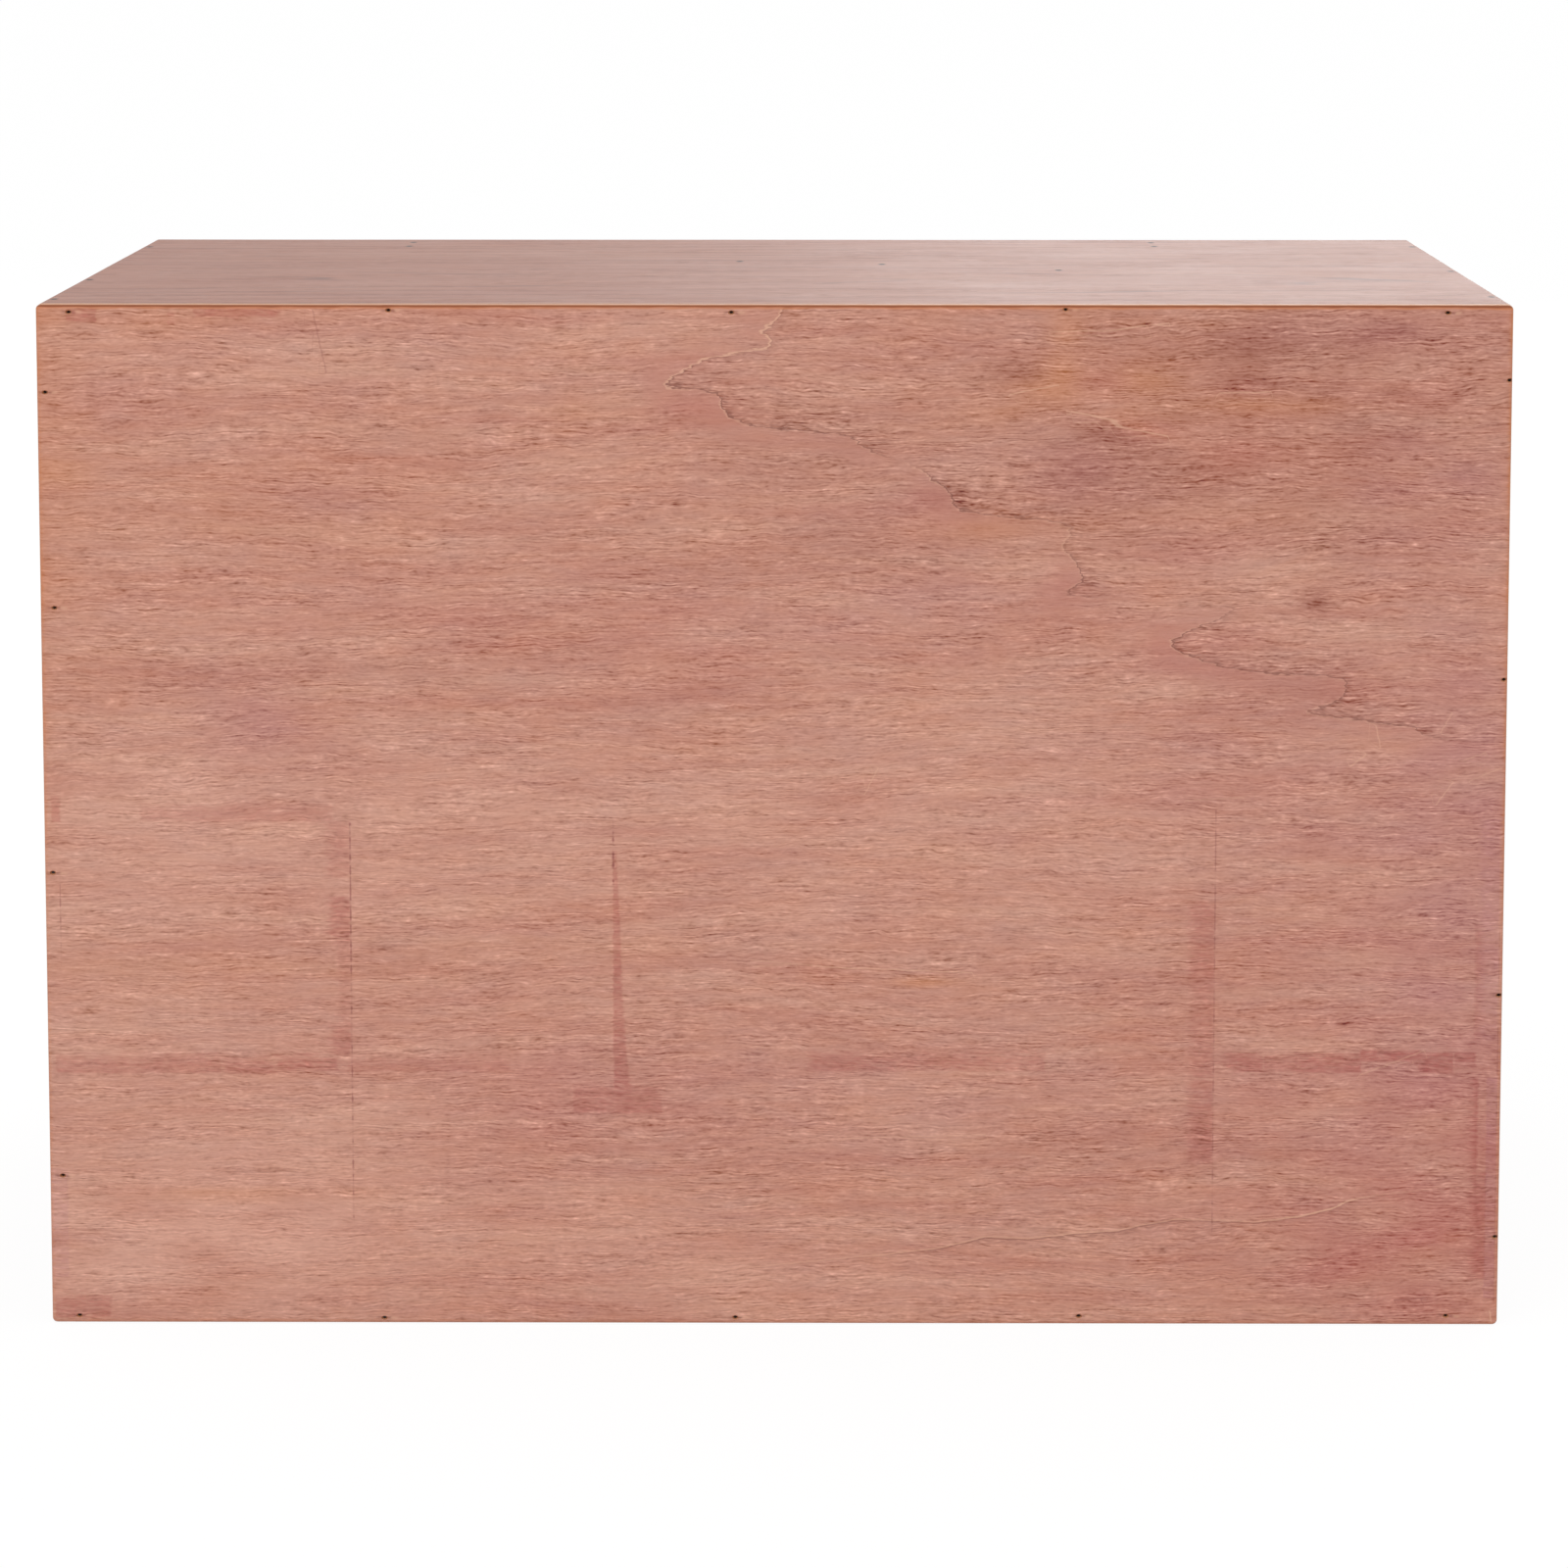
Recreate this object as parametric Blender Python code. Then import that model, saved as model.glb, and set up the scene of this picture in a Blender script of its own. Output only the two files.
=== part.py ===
"""A desktop organizer of thin stained boards, in metres, with its front facing -Y and its back facing +Y.

The case is a bottom, a top, two sides and a back panel that covers all their rear edges. Two partitions
make three columns. The two lowest rows hold six drawers. Above them the outer columns are open, and the
middle one is divided into slots by three uprights with scooped front edges. Shelves, partitions and
uprights sit in shallow housings. Each drawer is a rabbeted front, two grooved sides, a housed back, a
bottom that slides in its grooves, and a turned knob on a screw.

The origin is on the desk, under the middle of the whole object, knobs and all.
"""

import math
from typing import NamedTuple

import bmesh
import bpy
from mathutils import Matrix

# The case
WIDTH = 0.432
DEPTH = 0.305
HEIGHT = 0.305
BOARD = 0.0075
BACK_BOARD = 0.005
SIDE_BAY = 0.077
DRAWER_BAY = 0.067
HOUSING = 0.002
CASE_EASE = 0.0012
EDGE_EASE = 0.0006

# The uprights that divide the middle of the top row, by their middles across that bay
UPRIGHT_PLACE_SHARES = (0.136, 0.364, 0.552)
SCOOP_DEPTH = 0.026
SCOOP_MARGIN = 0.014

# The drawers
FRONT_BOARD = 0.009
BOX_BOARD = 0.006
BASE_BOARD = 0.003
FRONT_CLEARANCE = 0.001
FRONT_REVEAL = 0.001
FRONT_RABBET = 0.006
HEADROOM = 0.004
BASE_GROOVE = 0.0025
BASE_RISE = 0.006
BACK_HOUSING = 0.002
BACK_INSET = 0.008

# The knobs and their screws
KNOB_LENGTH = 0.016
KNOB_RADIUS = 0.0078
KNOB_RIM_HEIGHT = 0.0112
KNOB_HEAD_HEIGHT = 0.0085
KNOB_NECK_RADIUS = 0.0032
KNOB_FOOT_RADIUS = 0.0055
KNOB_FOOT_THICKNESS = 0.0018
SCREW_RADIUS = 0.0015
SCREW_HEAD_RADIUS = 0.0034
SCREW_HEAD_HEIGHT = 0.0018
SCREW_SLOT_WIDTH = 0.0008
SCREW_SLOT_DEPTH = 0.0008
SCREW_BITE = 0.009

# Clearances
SEAT_GAP = 0.0003
SCREW_CLEARANCE = 0.0003
OVERRUN = 0.002

# Counts and angles
KNOB_SIDES = 20
SCREW_SIDES = 12
BORE_SIDES = 16
SCOOP_SIDES = 64
COVE_STEPS = 5
DOME_STEPS = 7
DOME_START_DEGREES = -60
SHARP_EDGE_DEGREES = 40
CASE_EASE_STEPS = 2
EDGE_EASE_STEPS = 1
EASE_LIMIT_SHARE = 0.2
MERGE_LIMIT_SHARE = 0.001

COLUMNS = ("left", "centre", "right")
DRAWER_ROWS = ("lower", "upper")

# Where the case stands: the knobs reach past its front, and the middle of it all is at the origin
KNOB_REACH = KNOB_LENGTH + SEAT_GAP - FRONT_REVEAL
Y_BACK = (DEPTH + KNOB_REACH) / 2
Y_FRONT = Y_BACK - DEPTH
Y_INSIDE = Y_BACK - BACK_BOARD - SEAT_GAP


class Finish(NamedTuple):
    """What a surface looks like: its linear colour, its roughness and how metallic it is."""

    colour: tuple
    roughness: float
    metallic: float


STAINED = Finish((0.42, 0.19, 0.13), 0.42, 0.0)
STAINED_BACK = Finish((0.50, 0.24, 0.17), 0.50, 0.0)
BARE = Finish((0.62, 0.43, 0.27), 0.60, 0.0)
BRASS = Finish((0.60, 0.40, 0.15), 0.32, 1.0)
STEEL = Finish((0.45, 0.44, 0.42), 0.38, 1.0)


class Block(NamedTuple):
    """The space of a board: its low and high ends along X, Y and Z."""

    x: tuple
    y: tuple
    z: tuple

    def grown(self, by):
        return Block(*((low - by, high + by) for low, high in self))

    def middle(self):
        return tuple((low + high) / 2 for low, high in self)

    def size(self):
        return tuple(high - low for low, high in self)


def clear_scene():
    for old in list(bpy.data.objects):
        bpy.data.objects.remove(old, do_unlink=True)


def new_object(name, mesh_maker):
    """An object in the scene whose mesh is what mesh_maker puts into a bmesh."""
    mesh = bpy.data.meshes.new(name)
    shape = bmesh.new()
    mesh_maker(shape)
    shape.to_mesh(mesh)
    shape.free()
    made = bpy.data.objects.new(name, mesh)
    bpy.context.scene.collection.objects.link(made)
    return made


def dress(piece, finish):
    """Gives a piece a material of its own."""
    material = bpy.data.materials.new(piece.name)
    material.use_nodes = True
    shader = material.node_tree.nodes["Principled BSDF"]
    shader.inputs["Base Color"].default_value = (*finish.colour, 1)
    shader.inputs["Roughness"].default_value = finish.roughness
    shader.inputs["Metallic"].default_value = finish.metallic
    piece.data.materials.append(material)


def place(piece, point, carrier=None):
    """Puts a piece's origin at a point of the room, as a child of its carrier where it has one."""
    piece.parent = carrier
    start = carrier.location if carrier else (0, 0, 0)
    piece.location = [there - here for there, here in zip(point, start)]


def box_of(block):
    """Makes a mesh maker for a box of a block's size, about its own middle."""

    def box(shape):
        bmesh.ops.create_cube(shape, size=1, matrix=Matrix.Diagonal((*block.size(), 1)))

    return box


def board(name, block, finish, carrier=None, ease=EDGE_EASE, steps=EDGE_EASE_STEPS):
    """A board that fills a block, with its edges eased."""
    piece = new_object(name, box_of(block))
    bevel = piece.modifiers.new("eased_edges", "BEVEL")
    bevel.width = min(ease, min(block.size()) * EASE_LIMIT_SHARE)
    bevel.segments = steps
    bevel.limit_method = "NONE"
    place(piece, block.middle(), carrier)
    dress(piece, finish)
    return piece


def case_board(name, block, finish=STAINED):
    """A board of the outer case, whose handled edges are rounder."""
    return board(name, block, finish, ease=CASE_EASE, steps=CASE_EASE_STEPS)


def cut_away(piece, cutter, name):
    """Cuts a hidden helper's shape out of a piece."""
    cutter.hide_render = True
    cutter.display_type = "WIRE"
    boolean = piece.modifiers.new(name, "BOOLEAN")
    boolean.operation = "DIFFERENCE"
    boolean.object = cutter


def cut_block(piece, block, name):
    """Cuts a block out of a piece: a housing, a groove or a rabbet."""
    cutter = new_object(f"cut_{piece.name}_{name}", box_of(block))
    place(cutter, block.middle(), piece.parent)
    cut_away(piece, cutter, name)


def cut_round(piece, radius, length, point, turn, sides, name):
    """Cuts a cylinder out of a piece. It is made along Z and then turned."""

    def cylinder(shape):
        ends = {"radius1": radius, "radius2": radius}
        bmesh.ops.create_cone(shape, cap_ends=True, segments=sides, depth=length, **ends)

    cutter = new_object(f"cut_{piece.name}_{name}", cylinder)
    cutter.rotation_euler = turn
    place(cutter, point, piece.parent)
    cut_away(piece, cutter, name)


def turned(name, profile, sides, finish):
    """A piece turned about Z from a profile of (radius, height) points that starts and ends on the axis."""
    widest = max(radius for radius, _ in profile)

    def spin(shape):
        points = [shape.verts.new((radius, 0, height)) for radius, height in profile]
        edges = [shape.edges.new(pair) for pair in zip(points, points[1:])]
        turn = {"cent": (0, 0, 0), "axis": (0, 0, 1), "angle": math.tau, "steps": sides}
        bmesh.ops.spin(shape, geom=points + edges, use_merge=True, **turn)
        bmesh.ops.remove_doubles(shape, verts=shape.verts, dist=widest * MERGE_LIMIT_SHARE)
        bmesh.ops.recalc_face_normals(shape, faces=shape.faces)

    piece = new_object(name, spin)
    piece.data.shade_smooth()
    piece.data.set_sharp_from_angle(angle=math.radians(SHARP_EDGE_DEGREES))
    dress(piece, finish)
    return piece


def bay_floor(row):
    """The height of a row's floor, where row 0 stands on the bottom panel."""
    return BOARD + row * (DRAWER_BAY + BOARD)


def column_span(column):
    """The clear width of a column, from its low to its high end along X."""
    outer = WIDTH / 2 - BOARD
    inner = outer - SIDE_BAY
    return {
        "left": (-outer, -inner),
        "centre": (-inner + BOARD, inner - BOARD),
        "right": (inner, outer),
    }[column]


def drawer_bay(column, row):
    """The clear space of a drawer's bay, from the front of the case to the back panel."""
    floor = bay_floor(row)
    return Block(column_span(column), (Y_FRONT, Y_INSIDE), (floor, floor + DRAWER_BAY))


def bottom_panel_block():
    return Block((-WIDTH / 2, WIDTH / 2), (Y_FRONT, Y_INSIDE), (0, BOARD))


def top_panel_block():
    return Block((-WIDTH / 2, WIDTH / 2), (Y_FRONT, Y_INSIDE), (HEIGHT - BOARD, HEIGHT))


def side_block(hand):
    """The left side has hand -1, and the right side 1."""
    span = sorted((hand * WIDTH / 2, hand * (WIDTH / 2 - BOARD)))
    return Block(tuple(span), (Y_FRONT, Y_INSIDE), (BOARD + SEAT_GAP, HEIGHT - BOARD - SEAT_GAP))


def partition_block(hand):
    """A partition stands in housings in the bottom and top panels."""
    inner = WIDTH / 2 - BOARD - SIDE_BAY
    span = sorted((hand * inner, hand * (inner - BOARD)))
    return Block(tuple(span), (Y_FRONT, Y_INSIDE), (BOARD - HOUSING, HEIGHT - BOARD + HOUSING))


def shelf_block(column, level):
    """Shelf 1 covers the lower drawer and shelf 2 the upper one. Both ends sit in housings."""
    low, high = column_span(column)
    floor = bay_floor(level)
    return Block((low - HOUSING, high + HOUSING), (Y_FRONT, Y_INSIDE), (floor - BOARD, floor))


def upright_block(share):
    """An upright stands on the upper middle shelf and reaches the top panel, housed in both."""
    low, high = column_span("centre")
    middle = low + share * (high - low)
    ends = (bay_floor(len(DRAWER_ROWS)) - HOUSING, HEIGHT - BOARD + HOUSING)
    return Block((middle - BOARD / 2, middle + BOARD / 2), (Y_FRONT, Y_INSIDE), ends)


def upright_blocks():
    """The uprights from left to right, by name."""
    names = ("left_upright", "middle_upright", "right_upright")
    return dict(zip(names, map(upright_block, UPRIGHT_PLACE_SHARES)))


def house(piece, names_and_blocks):
    """Cuts a housing for each neighbour's block, a seat's gap wider than the neighbour all round."""
    for name, block in names_and_blocks:
        cut_block(piece, block.grown(SEAT_GAP), f"housing_{name}")


def shelves_of(*columns):
    return [
        (f"{column}_{row}_shelf", shelf_block(column, level))
        for column in columns
        for level, row in enumerate(DRAWER_ROWS, start=1)
    ]


def build_panels():
    """The bottom, top and back panels."""
    partitions = [("left_partition", partition_block(-1)), ("right_partition", partition_block(1))]
    bottom = case_board("bottom_panel", bottom_panel_block())
    house(bottom, partitions)
    top = case_board("top_panel", top_panel_block())
    house(top, partitions + list(upright_blocks().items()))
    back = Block((-WIDTH / 2, WIDTH / 2), (Y_BACK - BACK_BOARD, Y_BACK), (0, HEIGHT))
    case_board("back_panel", back, STAINED_BACK)


def build_sides_and_partitions():
    for hand, name in ((-1, "left"), (1, "right")):
        side = case_board(f"{name}_side", side_block(hand))
        house(side, shelves_of(name))
        partition = board(f"{name}_partition", partition_block(hand), STAINED)
        house(partition, shelves_of(name, "centre"))


def build_shelves():
    for name, block in shelves_of(*COLUMNS):
        shelf = board(name, block, STAINED)
        if name == "centre_upper_shelf":
            house(shelf, upright_blocks().items())


def scoop(piece, block):
    """Hollows an upright's front edge with one arc, so that a hand can reach what stands behind it."""
    half_chord = (HEIGHT - BOARD - bay_floor(len(DRAWER_ROWS))) / 2 - SCOOP_MARGIN
    radius = (half_chord**2 + SCOOP_DEPTH**2) / (2 * SCOOP_DEPTH)
    across, front, up = block.middle()[0], block.y[0], block.middle()[2]
    point = (across, front + SCOOP_DEPTH - radius, up)
    cut_round(piece, radius, BOARD + 2 * OVERRUN, point, (0, math.pi / 2, 0), SCOOP_SIDES, "scoop")


def build_uprights():
    for name, block in upright_blocks().items():
        scoop(board(name, block, STAINED), block)


def knob_profile():
    """From the screw's hole in the foot, up a cove to the rolled edge of the head, and over its dome."""
    bore = SCREW_RADIUS + SCREW_CLEARANCE
    bore_depth = SCREW_BITE + SCREW_CLEARANCE
    start = math.radians(DOME_START_DEGREES)
    under_radius = KNOB_RADIUS * math.cos(start)
    under_height = KNOB_RIM_HEIGHT + (KNOB_RIM_HEIGHT - KNOB_HEAD_HEIGHT) * math.sin(start)
    points = [(0, bore_depth), (bore, bore_depth), (bore, 0), (KNOB_FOOT_RADIUS, 0)]
    for step in range(COVE_STEPS + 1):
        along = step / COVE_STEPS
        end = KNOB_FOOT_RADIUS if along < 0.5 else under_radius
        radius = KNOB_NECK_RADIUS + (end - KNOB_NECK_RADIUS) * (2 * along - 1) ** 2
        points.append((radius, KNOB_FOOT_THICKNESS + along * (under_height - KNOB_FOOT_THICKNESS)))
    for step in range(1, DOME_STEPS):
        angle = start + (math.pi / 2 - start) * step / DOME_STEPS
        reach = KNOB_LENGTH - KNOB_RIM_HEIGHT if angle > 0 else KNOB_RIM_HEIGHT - KNOB_HEAD_HEIGHT
        points.append((KNOB_RADIUS * math.cos(angle), KNOB_RIM_HEIGHT + reach * math.sin(angle)))
    return points + [(0, KNOB_LENGTH)]


def build_knob(name, point, carrier):
    """A turned knob whose foot stands on the drawer front, pointing to -Y."""
    knob = turned(name, knob_profile(), KNOB_SIDES, BRASS)
    knob.rotation_euler = (math.pi / 2, 0, 0)
    place(knob, point, carrier)


def build_knob_screw(name, point, carrier):
    """A slotted round-head screw. Its head seats inside the drawer, and its shank points to -Y."""
    shank_end = FRONT_BOARD + 2 * SEAT_GAP + SCREW_BITE
    crown = SCREW_HEAD_RADIUS * math.sqrt(0.5)
    profile = [
        (0, -SCREW_HEAD_HEIGHT),
        (crown, -SCREW_HEAD_HEIGHT * math.sqrt(0.5)),
        (SCREW_HEAD_RADIUS, 0),
        (SCREW_RADIUS, 0),
        (SCREW_RADIUS, shank_end),
        (0, shank_end),
    ]
    screw = turned(name, profile, SCREW_SIDES, STEEL)
    screw.rotation_euler = (math.pi / 2, 0, 0)
    place(screw, point, carrier)
    across, seat, up = point
    head_top = seat + SCREW_HEAD_HEIGHT
    half = SCREW_SLOT_WIDTH / 2
    reach = SCREW_HEAD_RADIUS + OVERRUN
    depth = (head_top - SCREW_SLOT_DEPTH, head_top + OVERRUN)
    cut_block(screw, Block((across - reach, across + reach), depth, (up - half, up + half)), "slot")


def build_drawer(column, row):
    """One drawer at rest in its bay, on an empty at the middle of its front that slides along -Y."""
    name = f"{column}_{DRAWER_ROWS[row]}_drawer"
    bay = drawer_bay(column, row)
    front = Block(
        (bay.x[0] + FRONT_CLEARANCE, bay.x[1] - FRONT_CLEARANCE),
        (Y_FRONT + FRONT_REVEAL, Y_FRONT + FRONT_REVEAL + FRONT_BOARD),
        (bay.z[0] + FRONT_CLEARANCE, bay.z[1] - FRONT_CLEARANCE),
    )
    across, _, up = front.middle()
    slide = bpy.data.objects.new(f"{name}_slide", None)
    bpy.context.scene.collection.objects.link(slide)
    slide.location = (across, front.y[0], up)

    side_y = (front.y[1] - FRONT_RABBET + SEAT_GAP, bay.y[1] - SEAT_GAP)
    side_z = (bay.z[0] + SEAT_GAP, bay.z[1] - HEADROOM)
    inside = (front.x[0] + BOX_BOARD, front.x[1] - BOX_BOARD)
    left = Block((front.x[0], inside[0]), side_y, side_z)
    right = Block((inside[1], front.x[1]), side_y, side_z)
    base_bottom = side_z[0] + BASE_RISE
    back_end = side_y[1] - BACK_INSET
    base = Block(
        (inside[0] - BASE_GROOVE, inside[1] + BASE_GROOVE),
        (front.y[1] - BASE_GROOVE, back_end),
        (base_bottom, base_bottom + BASE_BOARD),
    )
    back = Block(
        (inside[0] - BACK_HOUSING, inside[1] + BACK_HOUSING),
        (back_end - BOX_BOARD, back_end),
        (base.z[1] + SEAT_GAP, side_z[1]),
    )
    full_height = (bay.z[0] - OVERRUN, bay.z[1] + OVERRUN)

    face = board(f"{name}_front", front, STAINED, carrier=slide)
    for hand, side in (("left", left), ("right", right)):
        cut_block(face, side.grown(SEAT_GAP)._replace(z=full_height), f"{hand}_rabbet")
    cut_block(face, base.grown(SEAT_GAP), "base_groove")
    hole_radius = SCREW_RADIUS + SCREW_CLEARANCE
    through = FRONT_BOARD + 2 * OVERRUN
    turn = (math.pi / 2, 0, 0)
    cut_round(face, hole_radius, through, front.middle(), turn, BORE_SIDES, "screw_hole")

    groove = base.grown(SEAT_GAP)._replace(y=(side_y[0] - OVERRUN, side_y[1] + OVERRUN))
    housing = back.grown(SEAT_GAP)._replace(z=full_height)
    for hand, side in (("left", left), ("right", right)):
        cheek = board(f"{name}_{hand}_side", side, BARE, carrier=slide)
        cut_block(cheek, groove, "base_groove")
        cut_block(cheek, housing, "back_housing")
    board(f"{name}_back", back, BARE, carrier=slide)
    board(f"{name}_base", base, BARE, carrier=slide)

    build_knob(f"{name}_knob", (across, front.y[0] - SEAT_GAP, up), slide)
    build_knob_screw(f"{name}_knob_screw", (across, front.y[1] + SEAT_GAP, up), slide)


def build():
    clear_scene()
    build_panels()
    build_sides_and_partitions()
    build_shelves()
    build_uprights()
    for column in COLUMNS:
        for row in range(len(DRAWER_ROWS)):
            build_drawer(column, row)


build()
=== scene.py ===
"""The looks of a stained wooden desk organizer with six drawers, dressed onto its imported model.

The photograph shows the back: a stained plywood panel, nailed all round, under a satin top board.
Meshes are worked out in metres. Finishes give their sizes in millimetres and their tints as a
screen shows them, from 0 to 255.
"""

import logging
import math
import operator
from dataclasses import dataclass, field
from enum import Enum
from functools import reduce
from typing import Any, Iterable, Sequence, Union

import bpy
import numpy as np
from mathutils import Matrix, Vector


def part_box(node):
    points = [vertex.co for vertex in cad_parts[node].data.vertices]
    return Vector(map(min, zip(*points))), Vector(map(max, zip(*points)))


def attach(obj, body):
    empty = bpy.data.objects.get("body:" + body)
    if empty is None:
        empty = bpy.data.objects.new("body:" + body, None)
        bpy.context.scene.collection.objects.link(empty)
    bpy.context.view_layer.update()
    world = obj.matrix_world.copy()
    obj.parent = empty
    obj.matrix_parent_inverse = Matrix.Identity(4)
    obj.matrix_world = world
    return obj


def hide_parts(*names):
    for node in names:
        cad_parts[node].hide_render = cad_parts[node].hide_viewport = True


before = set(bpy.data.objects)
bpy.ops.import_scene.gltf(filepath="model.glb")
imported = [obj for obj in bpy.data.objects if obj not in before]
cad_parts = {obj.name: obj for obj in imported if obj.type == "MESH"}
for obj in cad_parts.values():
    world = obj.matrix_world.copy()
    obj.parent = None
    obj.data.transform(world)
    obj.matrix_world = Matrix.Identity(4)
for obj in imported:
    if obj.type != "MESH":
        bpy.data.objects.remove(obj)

log = logging.getLogger("organizer")

MM = 0.001
CASE = "case"
COLUMNS = ("left", "centre", "right")
ROWS = ("lower", "upper")
UPRIGHTS = ("left_upright", "middle_upright", "right_upright")
SEAT_GAP = 0.3 * MM
SHARP_DEGREES = 40.0
# How near, in metres, a point that lies on a plane is to it.
ON_PLANE = 1e-7
# Grid lines are placed to this many decimals, and none is this near to the ends or, as a share of
# the spacing, to a line that must be there.
LINE_DECIMALS = 6
LEAST_GAP = 1e-5
NEAR_SHARE = 0.35
# The angles at which lines divide half of a round, and the line past it, in radii.
ROUND_DEGREES = (0, 15, 30)
PAST_ROUND = 1.35

Tint = tuple[float, float, float]
Term = Union["Wire", float, Sequence[float]]
Box = tuple[Vector, Vector]
Layers = tuple[tuple[float, float, float], ...]


class Axis(Enum):
    """A direction of the frame, such as the way that a board's grain runs."""

    ACROSS = 0
    DEEP = 1
    UPRIGHT = 2

    @property
    def plane(self) -> tuple[int, int]:
        """The numbers of the two directions across this one."""
        return tuple(sorted({0, 1, 2} - {self.value}))


def paint(tint: Tint) -> tuple[float, float, float, float]:
    """Turns a tint as a screen shows it into the linear colour that a shader takes.

    Args:
        tint: Red, green and blue, 0 to 255.

    Returns:
        The linear colour, with an alpha of 1.
    """
    shown = np.array(tint) / 255
    linear = np.where(shown <= 0.04045, shown / 12.92, ((shown + 0.055) / 1.055) ** 2.4)
    return (*map(float, linear), 1.0)


def level(tint: Tint, share: Tint = (1, 1, 1)) -> Tint:
    """The change of linear colour that lightens a tint by one step of 255.

    Args:
        tint: The tint that is lightened.
        share: How many steps red, green and blue each take.

    Returns:
        The change, to be scaled by a number of steps.
    """
    low, high = (paint(tuple(np.array(tint) + half * np.array(share))) for half in (-0.5, 0.5))
    return tuple(b - a for a, b in zip(low[:3], high[:3]))


def placed(name: str, data: bpy.types.ID) -> bpy.types.Object:
    """Adds an object to the scene.

    Args:
        name: Its name.
        data: Its mesh, lamp or camera.

    Returns:
        The object.
    """
    made = bpy.data.objects.new(name, data)
    bpy.context.scene.collection.objects.link(made)
    return made


@dataclass(frozen=True)
class Wire:
    """An output socket of a material that takes part in Python sums.

    The two numbers of a rise or a fall are millimetres for a distance, steps of 255 for a tone and
    a share for noise.
    """

    recipe: "Recipe"
    socket: bpy.types.NodeSocket

    def is_flat(self) -> bool:
        """Whether the socket carries one number, and not a vector or a colour."""
        return self.socket.type == "VALUE"

    def __add__(self, other: Term) -> "Wire":
        """The sum."""
        return self.recipe.maths("ADD", self, other)

    __radd__ = __add__

    def __sub__(self, other: Term) -> "Wire":
        """This less the other."""
        return self.recipe.maths("SUBTRACT", self, other)

    def __rsub__(self, other: Term) -> "Wire":
        """The other less this."""
        return self.recipe.maths("SUBTRACT", other, self)

    def __mul__(self, other: Term) -> "Wire":
        """The product."""
        return self.recipe.maths("MULTIPLY", self, other)

    __rmul__ = __mul__

    def __abs__(self) -> "Wire":
        """The size without its sign."""
        return self.recipe.maths("ABSOLUTE", self)

    def most(self, other: Term) -> "Wire":
        """The larger of this and the other."""
        return self.recipe.maths("MAXIMUM", self, other)

    def least(self, other: Term) -> "Wire":
        """The smaller of this and the other."""
        return self.recipe.maths("MINIMUM", self, other)

    def limited(self) -> "Wire":
        """The value, kept between 0 and 1."""
        return self.most(0.0).least(1.0)

    def rise(self, low: float, high: float) -> "Wire":
        """A smooth step, from 0 at low to 1 at high."""
        return self.recipe.node("ShaderNodeMapRange", {"interpolation_type": "SMOOTHSTEP"},
                                {"Value": self, "From Min": low, "From Max": high})

    def fall(self, low: float, high: float) -> "Wire":
        """A smooth step, from 1 at low to 0 at high."""
        return 1 - self.rise(low, high)

    def length(self, other: "Wire") -> "Wire":
        """The length of the square offset that has this and the other as its two parts."""
        return self.recipe.maths("SQRT", self * self + other * other)

    def toward(self, tint: Tint, share: Term) -> "Wire":
        """This colour mixed with a tint, all tint where the share is 1."""
        return self.recipe.mix(share, self, paint(tint))


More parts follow.
